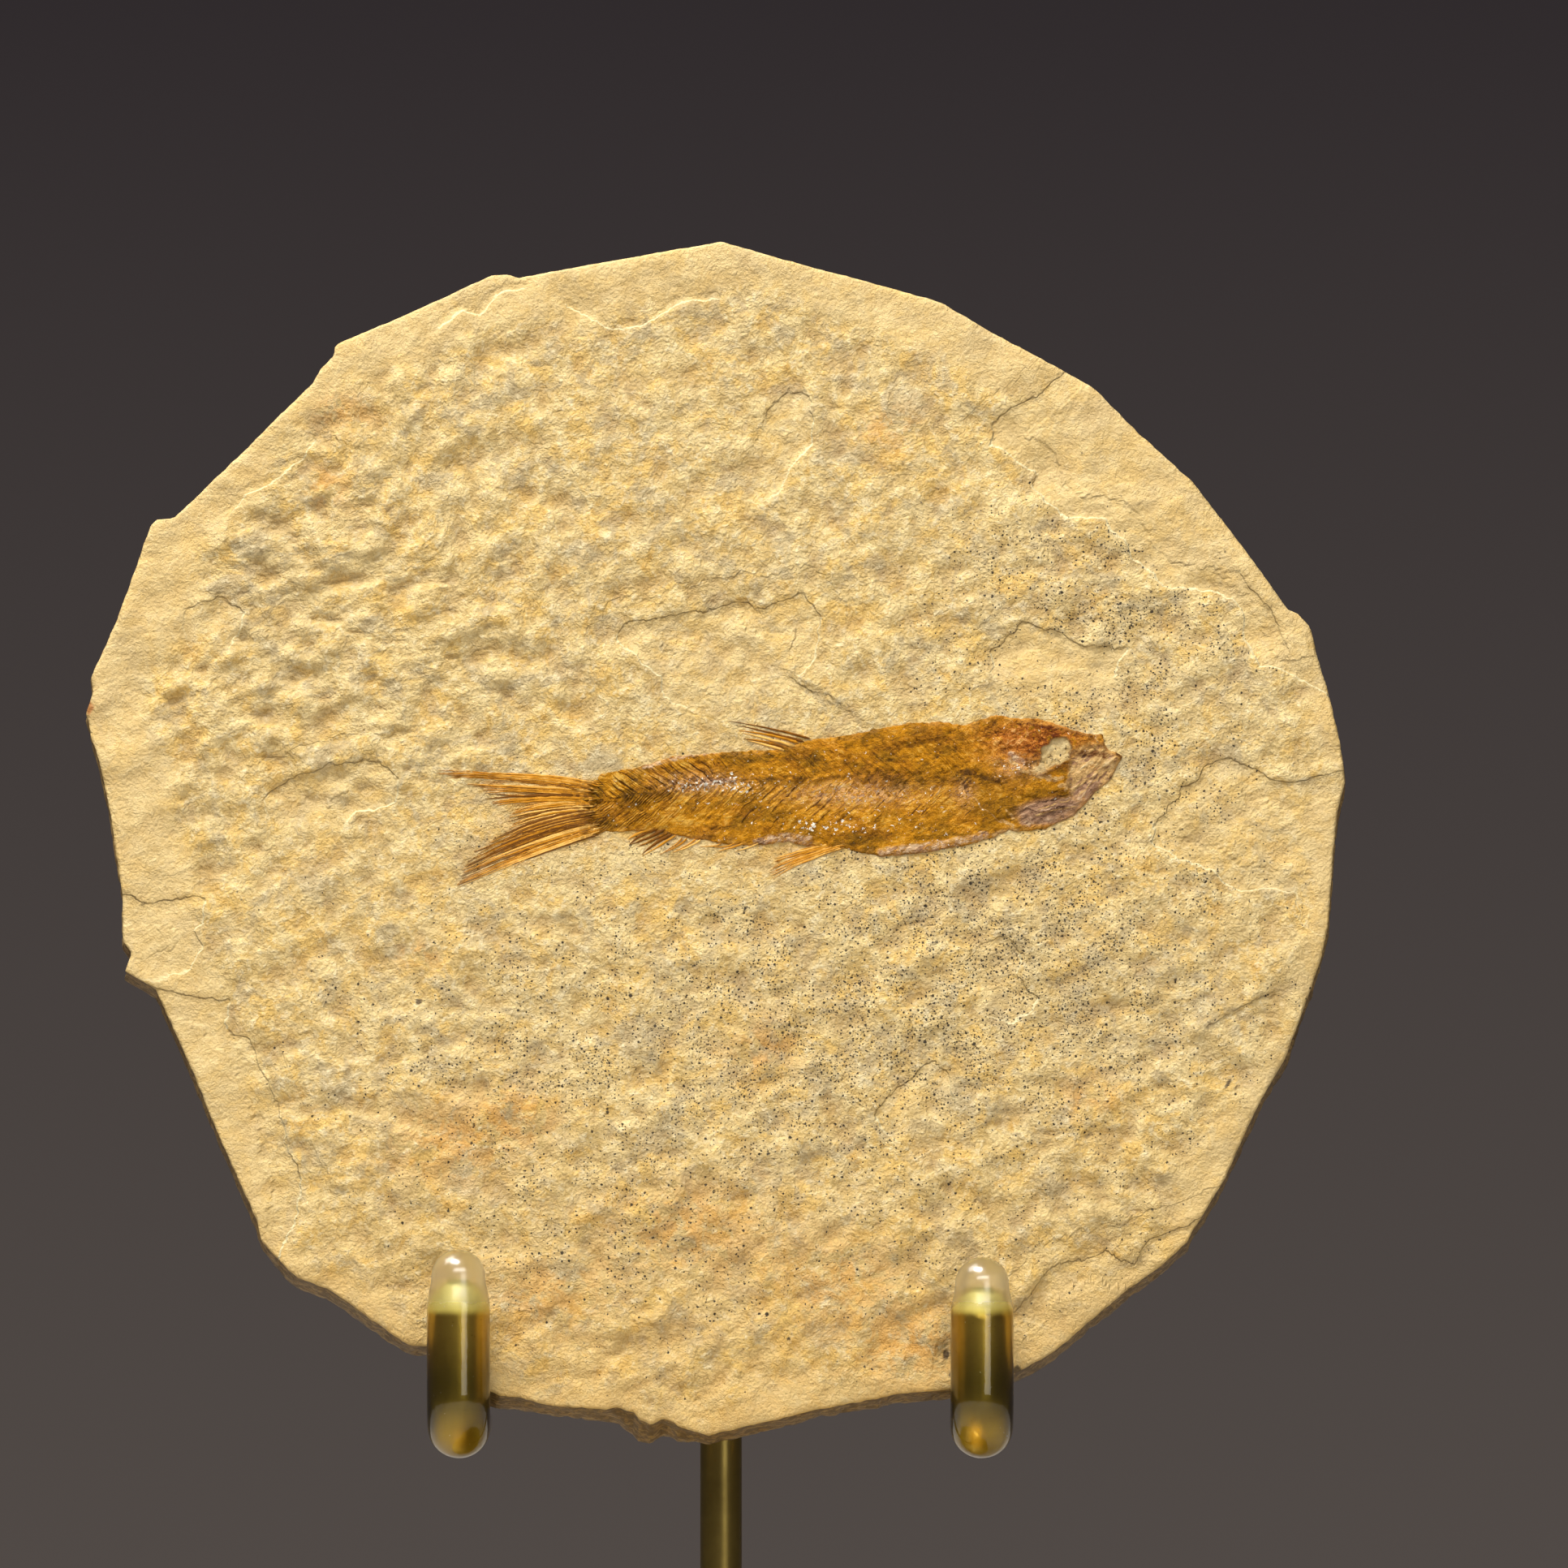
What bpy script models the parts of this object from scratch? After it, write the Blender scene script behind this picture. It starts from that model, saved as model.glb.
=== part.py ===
"""Fossil fish slab on a brass stand.

A hand-nipped limestone plate holds a fossil fish in its face. It leans back on a post and stands in a cradle
bent from one brass rod, whose two prongs wear clear sleeves. Sizes are in millimetres; the scene is in metres.
"""

import math

import bmesh
import bpy
import numpy as np
from mathutils import Vector, noise
from mathutils.geometry import delaunay_2d_cdt

MM = 0.001
GAP = 0.3

# Slab: u is to the right of the post, v is the upright height above the line where the slab rests,
# and w is the height of the surface above the plane of the front face.
SLAB_THICKNESS = 8.5
SLAB_LEAN = math.radians(8)
REST_LINE_HEIGHT = 66.0
REST_LINE_FRONT = -21.0
SLAB_CENTRE = (-0.5, 66.0)
SLAB_OUTLINE = [
    (0.1, 137.5), (7.5, 135.3), (18.0, 132.6), (26.2, 130.3), (31.9, 126.9), (40.6, 122.2), (44.7, 119.9),
    (49.7, 114.8), (56.5, 108.6), (60.4, 103.5), (63.8, 98.9), (67.7, 93.4), (68.9, 92.9), (70.4, 91.3),
    (71.3, 87.5), (72.5, 83.6), (73.9, 77.5), (74.5, 72.8), (73.5, 68.9), (73.0, 63.4), (72.4, 55.6),
    (71.5, 51.5), (69.8, 46.6), (67.3, 39.9), (64.4, 34.9), (62.3, 30.7), (60.1, 25.6), (56.8, 20.3),
    (55.5, 18.0), (52.6, 15.3), (47.7, 11.8), (42.8, 7.6), (39.8, 5.1), (36.6, 3.2), (34.7, 2.2),
    (31.0, 2.1), (27.4, 0.5), (20.5, -0.1), (9.2, -2.4), (3.0, -4.0), (-1.4, -4.9), (-4.5, -4.2), (-8.1, -4.4),
    (-10.5, -3.7), (-13.4, -2.4), (-20.1, -1.5), (-26.6, -0.4), (-30.8, 2.2), (-34.9, 5.4), (-37.1, 5.7),
    (-39.9, 7.5), (-46.9, 12.5), (-50.6, 13.7), (-52.5, 15.8), (-54.7, 18.0), (-55.2, 20.5), (-60.1, 31.5),
    (-62.9, 38.4), (-67.4, 48.1), (-71.0, 50.2), (-70.2, 52.4), (-71.3, 53.8), (-71.4, 59.0), (-72.9, 69.2),
    (-74.2, 75.3), (-75.1, 77.7), (-75.8, 81.0), (-75.0, 83.4), (-75.2, 85.3), (-72.1, 92.2), (-68.2, 103.3),
    (-67.4, 104.1), (-65.4, 104.3), (-57.7, 111.7), (-48.8, 120.6), (-47.9, 122.2), (-46.3, 123.8),
    (-46.2, 125.1), (-37.4, 128.9), (-27.4, 133.5), (-25.5, 133.6), (-24.3, 133.2),
]
# The nipped rim, by direction in degrees from the slab's centre: how far the back edge stands out past the
# front edge, and how much of that shows outside the front edge in a level view.
RIM_SLOPES = [
    (-180, 0.4, 0.1), (-160, 0.5, 0.2), (-140, 1.0, 0.8), (-120, 1.1, 1.0), (-100, 2.3, 2.2), (-90, 1.5, 1.4),
    (-60, 0.9, 0.8), (-35, 0.6, 0.3), (-20, 0.5, 0.1), (0, 0.4, 0.0), (20, 0.4, 0.0), (45, 0.4, 0.0),
    (90, 0.4, 0.0), (150, 0.5, 0.1), (180, 0.4, 0.1),
]
RIM_STEP = 3.2
RIM_CHIP_DEPTH = 0.55
FRONT_STEP = 3.7
BACK_STEP = 9.5
LUMP_HEIGHT = 0.75
BORDER_WIDTH = 9.0

# Flake scars: name, depth, outline. Scars that run off the slab have their last points beyond its rim.
SCAR_WALL = 0.7
SCARS = {
    "above_back": (0.8, [
        (-12.5, 90.0), (-11.5, 91.5), (-8.5, 92.0), (3.0, 94.5), (5.5, 93.5), (10.0, 95.5), (12.0, 92.5),
        (11.5, 87.5), (9.0, 85.0), (16.0, 81.0), (16.5, 77.0), (4.5, 75.0), (0.5, 77.0), (-2.0, 78.5),
        (-3.0, 81.0), (-7.0, 83.0), (-7.5, 85.5)]),
    "behind_tail": (0.7, [
        (-54.0, 72.0), (-50.0, 73.5), (-47.5, 74.5), (-42.0, 75.5), (-40.5, 75.5), (-38.5, 73.0),
        (-38.5, 70.5), (-43.5, 69.0), (-46.0, 66.0), (-46.0, 63.5), (-49.5, 62.5), (-52.5, 64.5),
        (-54.5, 70.5)]),
    "far_left": (0.5, [
        (-64.5, 91.5), (-64.0, 93.5), (-60.0, 95.0), (-57.0, 93.0), (-58.5, 88.5), (-60.0, 87.5),
        (-63.0, 88.0)]),
    "below_head": (0.6, [
        (29.5, 51.5), (33.0, 54.5), (34.5, 54.0), (36.0, 52.0), (35.0, 50.0), (38.0, 47.0), (34.5, 44.0),
        (29.5, 45.5)]),
    "below_belly": (0.6, [
        (21.0, 36.5), (24.5, 39.0), (25.5, 40.0), (27.0, 38.0), (28.0, 30.5), (23.5, 28.0), (20.0, 31.0),
        (18.0, 33.0)]),
    "above_head": (0.7, [
        (31.5, 78.0), (32.5, 86.5), (32.0, 88.0), (36.0, 91.5), (40.0, 91.0), (42.5, 89.5), (48.5, 88.5),
        (47.0, 85.5), (48.5, 81.0), (46.5, 78.0)]),
    "top_middle": (0.5, [
        (4.0, 113.5), (5.5, 117.5), (8.5, 120.0), (10.0, 119.5), (11.0, 116.0), (10.5, 113.0), (5.5, 106.0),
        (1.5, 107.0), (1.5, 109.0)]),
    "upper_right": (0.8, [
        (39.5, 120.5), (32.5, 115.5), (32.0, 113.0), (38.0, 110.0), (37.0, 108.0), (41.5, 104.0),
        (46.0, 104.0), (48.0, 102.0), (49.0, 99.5), (53.5, 96.0), (59.5, 95.5), (62.5, 93.5), (63.0, 89.5),
        (64.5, 86.5), (67.5, 86.0), (78.0, 80.0), (80.0, 95.0), (50.0, 130.0)]),
    "right": (0.8, [
        (79.0, 75.5), (68.0, 72.5), (62.5, 75.0), (60.5, 76.0), (58.0, 74.5), (53.5, 70.0), (51.5, 67.5),
        (52.0, 65.5), (54.5, 63.5), (58.0, 62.5), (61.0, 60.0), (68.5, 59.5), (69.0, 56.0), (78.0, 50.0)]),
    "lower_right": (1.4, [
        (31.0, 5.0), (38.0, 13.5), (39.0, 15.0), (42.5, 16.0), (46.0, 17.0), (49.0, 15.5), (51.0, 18.5),
        (60.0, 22.0), (70.0, 0.0), (31.0, -5.0)]),
    "lower_left": (0.8, [
        (-73.0, 49.5), (-61.5, 47.0), (-58.5, 46.5), (-58.5, 43.5), (-56.0, 42.0), (-54.5, 38.0),
        (-52.0, 32.5), (-51.5, 28.5), (-50.0, 26.0), (-50.5, 21.0), (-52.5, 16.0), (-60.0, 10.0),
        (-80.0, 40.0)]),
    "left": (0.6, [
        (-78.0, 63.0), (-69.5, 58.5), (-63.0, 59.0), (-61.5, 58.5), (-62.5, 55.0), (-61.5, 52.5),
        (-64.5, 50.0), (-76.0, 47.5)]),
}

# Fish: the outline runs from the tip of the lower jaw along the belly, round the tail and back over the top.
FISH_OUTLINE = [
    (48.0, 76.0), (47.6, 75.3), (45.9, 72.5), (44.5, 71.3), (42.2, 69.1), (39.1, 67.6), (34.8, 66.8),
    (33.4, 65.8), (30.6, 65.1), (27.8, 64.5), (24.9, 64.2), (19.5, 63.9), (14.7, 64.5), (9.3, 62.4),
    (5.6, 60.6), (6.8, 63.3), (5.1, 64.6), (-1.6, 65.3), (-4.9, 65.7), (-6.0, 64.5), (-9.3, 63.6),
    (-11.2, 65.7), (-8.5, 66.8), (-13.9, 66.5), (-16.1, 66.3), (-18.0, 65.1), (-24.8, 62.5), (-31.4, 60.0),
    (-30.2, 63.2), (-26.6, 65.7), (-24.9, 67.5), (-24.5, 69.3), (-27.5, 70.4), (-27.5, 71.9), (-33.8, 74.0),
    (-30.2, 74.3), (-26.6, 73.6), (-21.2, 73.3), (-15.7, 72.9), (-13.8, 73.7), (-10.1, 74.3), (-6.3, 75.5),
    (-0.3, 76.3), (3.2, 76.8), (1.1, 79.8), (5.0, 79.1), (11.2, 77.9), (15.9, 78.8), (23.2, 80.0),
    (26.3, 80.0), (28.6, 79.4), (30.6, 80.0), (32.9, 80.7), (36.0, 80.3), (39.1, 79.9), (41.9, 78.8),
    (45.8, 78.5), (45.9, 76.4),
]
FISH_SPINE = [(-16.0, 70.6), (-9.0, 71.6), (-3.0, 72.5), (9.0, 73.2), (18.0, 73.4), (28.5, 74.4)]
FISH_SINK = 0.9
RECESS_WALL = 0.25
FISH_EDGE_HEIGHT = 0.15
FISH_BODY_HEIGHT = 0.75
FISH_ROUNDING = 4.5
FISH_SPINE_HEIGHT = 0.25
FISH_STEP = 1.7
FISH_PLATEAU = 5.0
EYE_CENTRE = (39.8, 76.1)
EYE_RADIUS = 2.0
EYE_DEPTH = 0.35

# Stand
ROD_RADIUS = 2.5
ROD_BEND = 4.2
ROD_BACK_BEND = 5.0
PRONG_SPACING = 62.0
PRONG_CLEARANCE = 1.0
LEFT_TIP_HEIGHT = 17.4
RIGHT_TIP_HEIGHT = 16.5
DOME_LENGTH = 6.5
# The prongs' ends are filed to a blunt cone: its length, and its tip's share of the rod's radius.
FILED_TIP = 2.9
TIP_SHARE = 0.3
CROSS_BAR_HEIGHT = 14.0
SLEEVE_RADIUS = 3.75
SLEEVE_DOME_RADIUS = 3.2
SLEEVE_BORE = ROD_RADIUS + GAP
SLEEVE_END_FRONT = -10.6
BACK_REST_HEIGHT = 59.6
CAP_RADIUS = 3.6
CAP_SKIRT = 12.0
BASE_RADIUS = 45.0
BASE_THICKNESS = 6.0
BASE_EDGE = 1.0
POST_SOCKET_DEPTH = 4.0

SHARPEST_MITRE = 0.2
SECTION_SIDES = 4
ARC_STEPS = 5
TURNED_STEPS = 48
POST_SIDES = 24

LIMESTONE = ((0.62, 0.49, 0.27), 0.9, 0.0)
FISH_BONE = ((0.30, 0.14, 0.03), 0.55, 0.0)
POLISHED_BRASS = ((0.72, 0.52, 0.16), 0.2, 1.0)
CLEAR_PLASTIC = ((0.92, 0.92, 0.88), 0.1, 0.0)


# Scene and materials


def clear_scene():
    for obj in list(bpy.data.objects):
        bpy.data.objects.remove(obj)


def material(name, colour_roughness_metallic):
    colour, roughness, metallic = colour_roughness_metallic
    made = bpy.data.materials.new(name)
    made.use_nodes = True
    shader = made.node_tree.nodes["Principled BSDF"]
    shader.inputs["Base Color"].default_value = (*colour, 1)
    shader.inputs["Roughness"].default_value = roughness
    shader.inputs["Metallic"].default_value = metallic
    return made


def add_object(name, mesh, collection, finish):
    obj = bpy.data.objects.new(name, mesh)
    collection.objects.link(obj)
    obj.data.materials.append(finish)
    return obj


def mesh_from(name, points, faces):
    """A mesh in metres from points in millimetres, with its faces turned outwards."""
    mesh = bpy.data.meshes.new(name)
    mesh.from_pydata([Vector(point) * MM for point in points], [], faces)
    sheet = bmesh.new()
    sheet.from_mesh(mesh)
    bmesh.ops.recalc_face_normals(sheet, faces=sheet.faces)
    sheet.to_mesh(mesh)
    sheet.free()
    return mesh


# Flat geometry


def edges_of(outline):
    start = np.array(outline, float)
    return start, np.roll(start, -1, axis=0) - start


def inside_distance(points, outline):
    """Distance from each point to the outline, positive inside it and negative outside."""
    points = np.atleast_2d(np.array(points, float))
    start, edge = edges_of(outline)
    away = points[:, None, :] - start[None, :, :]
    along = np.clip((away * edge).sum(-1) / (edge * edge).sum(-1), 0, 1)
    nearest = np.hypot(*np.moveaxis(away - along[..., None] * edge, -1, 0)).min(1)
    above = away[..., 1] >= 0
    end_above = np.roll(above, -1, axis=1)
    crossing = above != end_above
    side = edge[:, 0] * away[..., 1] - edge[:, 1] * away[..., 0]
    winding = (crossing & ((side > 0) == ~above)).sum(1)
    return np.where(winding % 2 == 1, nearest, -nearest)


def line_distance(points, line):
    """Distance from each point to an open line."""
    points = np.atleast_2d(np.array(points, float))
    start = np.array(line[:-1], float)
    edge = np.array(line[1:], float) - start
    away = points[:, None, :] - start[None, :, :]
    along = np.clip((away * edge).sum(-1) / (edge * edge).sum(-1), 0, 1)
    return np.hypot(*np.moveaxis(away - along[..., None] * edge, -1, 0)).min(1)


def offset_outline(outline, distance):
    """The outline moved inwards by a distance, or outwards where that is negative."""
    start, edge = edges_of(outline)
    turning = np.sign((start[:, 0] * np.roll(start[:, 1], -1) - start[:, 1] * np.roll(start[:, 0], -1)).sum())
    inwards = turning * np.stack([-edge[:, 1], edge[:, 0]], 1) / np.hypot(edge[:, 0], edge[:, 1])[:, None]
    before = np.roll(inwards, 1, axis=0)
    bisector = inwards + before
    stretch = 1 + (inwards * before).sum(1)
    return start + distance * bisector / np.maximum(stretch, SHARPEST_MITRE)[:, None]


def divided(outline, step):
    """The outline with long edges cut into equal lengths of about one step."""
    start, edge = edges_of(outline)
    result = []
    for point, run in zip(start, edge):
        count = max(1, round(float(np.hypot(*run)) / step))
        result += [point + run * part / count for part in range(count)]
    return np.array(result)


def filler_points(outline, step, margin, seed):
    """A staggered grid inside the outline, each point shifted a little so that no rows show."""
    low = np.min(outline, axis=0)
    high = np.max(outline, axis=0)
    rows = np.arange(low[1], high[1], step * math.sqrt(3) / 2)
    columns = np.arange(low[0], high[0], step)
    grid = np.array([(u + step / 2 * (row % 2), v) for row, v in enumerate(rows) for u in columns])
    shift = [noise.noise_vector(Vector((u / step * 1.7 + seed, v / step * 1.7, seed))) for u, v in grid]
    grid = grid + np.array([(each.x, each.y) for each in shift]) * step * 0.45
    return grid[inside_distance(grid, outline) > margin]


def clear_of(points, others, spacing):
    """The points that lie further than the spacing from every one of the others."""
    apart = np.hypot(*np.moveaxis(points[:, None, :] - others[None, :, :], -1, 0)).min(1)
    return points[apart > spacing]


def triangulated(ring, chains, loose):
    """Triangles inside the ring that keep the ring's edges and those of the chains."""
    points = [Vector(point) for point in ring]
    edges = [(place, (place + 1) % len(ring)) for place in range(len(ring))]
    for chain in chains:
        first = len(points)
        points += [Vector(point) for point in chain]
        edges += [(first + place, first + place + 1) for place in range(len(chain) - 1)]
    points += [Vector(point) for point in loose]
    found, _, faces, *_ = delaunay_2d_cdt(points, edges, [], 1, 1e-4)
    return np.array([tuple(point) for point in found]), faces


def smooth_step(value):
    value = np.clip(value, 0, 1)
    return value * value * (3 - 2 * value)


# Slab


def on_slab(points, heights):
    """Places on the leaning slab: (u, v) across its face and a height above the plane of that face."""
    right = np.array((1, 0, 0))
    upwards = np.array((0, math.tan(SLAB_LEAN), 1))
    outwards = np.array((0, -math.cos(SLAB_LEAN), math.sin(SLAB_LEAN)))
    origin = np.array((0, REST_LINE_FRONT, REST_LINE_HEIGHT))
    across, up = points.T
    return list(origin + np.outer(across, right) + np.outer(up, upwards) + np.outer(heights, outwards))


def rim_slope(points):
    """How far the back edge stands out past the front edge at each point, and how much of that shows."""
    directions = np.degrees(np.arctan2(points[:, 1] - SLAB_CENTRE[1], points[:, 0] - SLAB_CENTRE[0]))
    angles, spreads, shown = zip(*RIM_SLOPES)
    return np.interp(directions, angles, spreads), np.interp(directions, angles, shown)


def outwards_from_centre(points):
    away = points - np.array(SLAB_CENTRE)
    return away / np.hypot(away[:, 0], away[:, 1])[:, None]


def front_outline():
    """The front face's edge, inside the slab's whole outline by as much of the rim as shows."""
    ring = divided(SLAB_OUTLINE, RIM_STEP)
    _, shown = rim_slope(ring)
    return ring - outwards_from_centre(ring) * shown[:, None]


def lumps(points):
    """Rough natural surface: broad swells and smaller knobs."""
    return np.array([
        noise.noise(Vector((u / 13, v / 9, 1.5))) * 0.6 + noise.noise(Vector((u / 5.5, v / 4.2, 7.5))) * 0.55
        for u, v in points
    ])


def front_height(points, edge):
    """Height of the slab's face: lumps, smoother near the rim and level round the fish, less the scars."""
    points = np.atleast_2d(points)
    from_rim = inside_distance(points, edge)
    from_fish = -inside_distance(points, FISH_OUTLINE)
    rough = 0.35 + 0.65 * smooth_step(from_rim / BORDER_WIDTH)
    height = LUMP_HEIGHT * lumps(points) * rough * smooth_step(from_fish / FISH_PLATEAU)
    for depth, outline in SCARS.values():
        height -= depth * smooth_step(inside_distance(points, outline) / SCAR_WALL) * smooth_step(from_fish / 2)
    recess = np.clip(1 + inside_distance(points, offset_outline(FISH_OUTLINE, -GAP)) / RECESS_WALL, 0, 1)
    return height - (FISH_SINK + GAP) * recess


def scar_chains(edge):
    """Both lips of every scar, without the stretches off the slab, at its rim or in the fish."""
    chains = []
    for _, outline in SCARS.values():
        for inset in (0, SCAR_WALL):
            loop = divided(offset_outline(outline, inset), FRONT_STEP)
            kept = (inside_distance(loop, edge) > 1.4) & (inside_distance(loop, FISH_OUTLINE) < -1.6)
            chain = []
            for place in range(len(loop) + 1):
                here = place % len(loop)
                if kept[here]:
                    chain.append(loop[here])
                if not kept[here] or place == len(loop):
                    if len(chain) > 1:
                        chains.append(np.array(chain))
                    chain = []
    return chains


def slab_mesh():
    edge = front_outline()
    spread, _ = rim_slope(edge)
    outwards = outwards_from_centre(edge)
    chips = np.array([noise.noise(Vector((u / 4.5, v / 4.5, 3.3))) for u, v in edge]) * RIM_CHIP_DEPTH

    recess = [offset_outline(FISH_OUTLINE, -GAP), offset_outline(FISH_OUTLINE, -GAP - RECESS_WALL)]
    chains = scar_chains(edge) + [np.vstack([loop, loop[:1]]) for loop in recess]
    loose = filler_points(edge, FRONT_STEP, 1.6, 2.0)
    loose = clear_of(loose, np.vstack(chains), FRONT_STEP * 0.5)
    front, front_faces = triangulated(edge, chains, loose)
    points = on_slab(front, front_height(front, edge))
    faces = [tuple(face) for face in front_faces]

    # Rings down the rim, from the front edge to the back edge.
    count = len(edge)
    rings = [list(range(count))]
    edge_height = front_height(edge, edge)
    for part, bulge in ((0.12, 0.25), (0.5, 0.9), (1.0, 0.3)):
        ring = edge + outwards * (spread * part ** 0.8 + chips * bulge)[:, None]
        heights = edge_height * (1 - part) - SLAB_THICKNESS * part
        rings.append(list(range(len(points), len(points) + count)))
        points += on_slab(ring, heights)
    for upper, lower in zip(rings, rings[1:]):
        for here in range(count):
            after = (here + 1) % count
            faces.append((upper[here], upper[after], lower[after], lower[here]))

    inner = filler_points(ring, BACK_STEP, 3.5, 5.0)
    back, back_faces = triangulated(ring, [], inner)
    swell = np.array([noise.noise(Vector((u / 22, v / 22, 9.1))) for u, v in back[count:]])
    points += on_slab(back[count:], -SLAB_THICKNESS + 0.3 * swell - 0.1)
    first = rings[-1][0]
    faces += [tuple(first + corner for corner in reversed(face)) for face in back_faces]
    return mesh_from("limestone_slab", points, faces)


# Fish


def fish_height(points):
    """Height of the fish above the slab's face: thin fins, a rounded body, a raised spine and a sunken eye."""
    body_depth = np.maximum(inside_distance(points, FISH_OUTLINE), 0)
    rounded = 1 - np.minimum(body_depth / FISH_ROUNDING, 1)
    height = FISH_EDGE_HEIGHT + (FISH_BODY_HEIGHT - FISH_EDGE_HEIGHT) * np.sqrt(1 - rounded ** 2)
    height += FISH_SPINE_HEIGHT * np.exp(-(line_distance(points, FISH_SPINE) / 0.9) ** 2)
    eye = np.hypot(points[:, 0] - EYE_CENTRE[0], points[:, 1] - EYE_CENTRE[1]) / EYE_RADIUS
    height -= EYE_DEPTH * np.exp(-eye ** 4)
    bones = np.array([noise.noise(Vector((u / 2.4, v / 2.0, 4.2))) for u, v in points])
    return height + 0.12 * bones * smooth_step(body_depth / 2)


def fish_mesh():
    ring = divided(FISH_OUTLINE, 2.2)
    loose = filler_points(ring, FISH_STEP, FISH_STEP * 0.45, 8.0)
    front, front_faces = triangulated(ring, [], loose)
    heights = fish_height(front)
    count = len(ring)
    heights[:count] = FISH_EDGE_HEIGHT
    points = on_slab(front, heights)
    faces = [tuple(face) for face in front_faces]

    back, back_faces = triangulated(ring, [], [])
    first = len(points)
    points += on_slab(back, [-FISH_SINK] * len(back))
    faces += [tuple(first + corner for corner in reversed(face)) for face in back_faces]
    for here in range(count):
        after = (here + 1) % count
        faces.append((here, after, first + after, first + here))
    return mesh_from("fossil_fish", points, faces)


# Stand


def bent_path(corners, bends):
    """The route through the corners in millimetres, with each inner corner rounded to its bend radius."""
    corners = [Vector(corner) for corner in corners]
    route = [corners[0]]
    for before, corner, after, bend in zip(corners, corners[1:], corners[2:], bends):
        back = (before - corner).normalized()
        ahead = (after - corner).normalized()
        centre = corner + (back + ahead) * bend
        for step in range(ARC_STEPS + 1):
            turn = math.pi / 2 * step / ARC_STEPS
            route.append(centre - ahead * bend * math.cos(turn) - back * bend * math.sin(turn))
    return route + [corners[-1]]


def tube(name, route, radii):
    """A round rod along the route as a curve object, with a radius at each point."""
    curve = bpy.data.curves.new(name, "CURVE")
    curve.dimensions = "3D"
    curve.bevel_depth = MM
    curve.bevel_resolution = SECTION_SIDES
    curve.use_fill_caps = True
    spline = curve.splines.new("POLY")
    spline.points.add(len(route) - 1)
    for place, point, radius in zip(spline.points, route, radii):
        place.co = (*(point * MM), 1)
        place.radius = radius
    return curve


def meshed(curve, collection):
    """The curve's closed mesh, with its end caps joined on."""
    guide = bpy.data.objects.new(curve.name, curve)
    collection.objects.link(guide)
    bpy.context.view_layer.update()
    mesh = bpy.data.meshes.new_from_object(guide.evaluated_get(bpy.context.evaluated_depsgraph_get()))
    bpy.data.objects.remove(guide)
    shell = bmesh.new()
    shell.from_mesh(mesh)
    bmesh.ops.remove_doubles(shell, verts=shell.verts, dist=0.001 * MM)
    bmesh.ops.recalc_face_normals(shell, faces=shell.faces)
    shell.to_mesh(mesh)
    shell.free()
    mesh.shade_smooth()
    mesh.set_sharp_from_angle(angle=math.radians(40))
    return mesh


def cradle_route():
    """Half of the cradle, from the middle of the cross-bar out to the run under the slab and up the prong."""
    run = REST_LINE_HEIGHT - SLEEVE_RADIUS
    front = REST_LINE_FRONT - PRONG_CLEARANCE - SLEEVE_RADIUS
    behind = -2 * ROD_RADIUS - GAP
    cross = REST_LINE_HEIGHT + CROSS_BAR_HEIGHT
    return run, front, behind, cross


def cradle_mesh(collection):
    run, front, behind, cross = cradle_route()
    half = PRONG_SPACING / 2
    left_end = REST_LINE_HEIGHT + LEFT_TIP_HEIGHT - DOME_LENGTH
    right_end = REST_LINE_HEIGHT + RIGHT_TIP_HEIGHT - DOME_LENGTH
    corners = [
        (-half, front, left_end), (-half, front, run), (-half, behind, run), (-half, behind, cross),
        (half, behind, cross), (half, behind, run), (half, front, run), (half, front, right_end),
    ]
    bends = [ROD_BEND, ROD_BACK_BEND, ROD_BACK_BEND, ROD_BACK_BEND, ROD_BACK_BEND, ROD_BEND]
    route = bent_path(corners, bends)
    left_tip = Vector((-half, front, left_end + FILED_TIP))
    right_tip = Vector((half, front, right_end + FILED_TIP))
    radii = [ROD_RADIUS * TIP_SHARE] + [ROD_RADIUS] * len(route) + [ROD_RADIUS * TIP_SHARE]
    return meshed(tube("cradle_rod", [left_tip, *route, right_tip], radii), collection)


def sleeve(name, side, tip_height, collection, cutters, finish):
    """A clear sleeve: a tapering domed tube along the prong and the run, bored from its open end."""
    run, front, _, _ = cradle_route()
    across = side * PRONG_SPACING / 2
    tip = REST_LINE_HEIGHT + tip_height
    dome_base = tip - SLEEVE_DOME_RADIUS
    open_end = (across, SLEEVE_END_FRONT, run)
    corner = (across, front, run)
    route = bent_path([open_end, corner, (across, front, tip - DOME_LENGTH)], [ROD_BEND])
    radii = [SLEEVE_RADIUS] * len(route)
    for step in range(ARC_STEPS + 1):
        turn = math.pi / 2 * step / ARC_STEPS * 0.97
        route.append(Vector((across, front, dome_base + SLEEVE_DOME_RADIUS * math.sin(turn))))
        radii.append(SLEEVE_DOME_RADIUS * math.cos(turn))
    outer = add_object(name, meshed(tube(name, route, radii), collection), collection, finish)

    past_end = (across, SLEEVE_END_FRONT + 2, run)
    bore_route = bent_path([past_end, corner, (across, front, tip - DOME_LENGTH + GAP)], [ROD_BEND])
    bore_tip = Vector((across, front, tip - DOME_LENGTH + GAP + FILED_TIP))
    bore_radii = [SLEEVE_BORE] * len(bore_route) + [SLEEVE_BORE * TIP_SHARE]
    bore_curve = tube(name + "_bore", [*bore_route, bore_tip], bore_radii)
    bore = add_object(name + "_bore", meshed(bore_curve, cutters), cutters, finish)
    bore.hide_render = True
    bore.display_type = "WIRE"
    cut = outer.modifiers.new("bore", "BOOLEAN")
    cut.operation = "DIFFERENCE"
    cut.object = bore
    return outer


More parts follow.
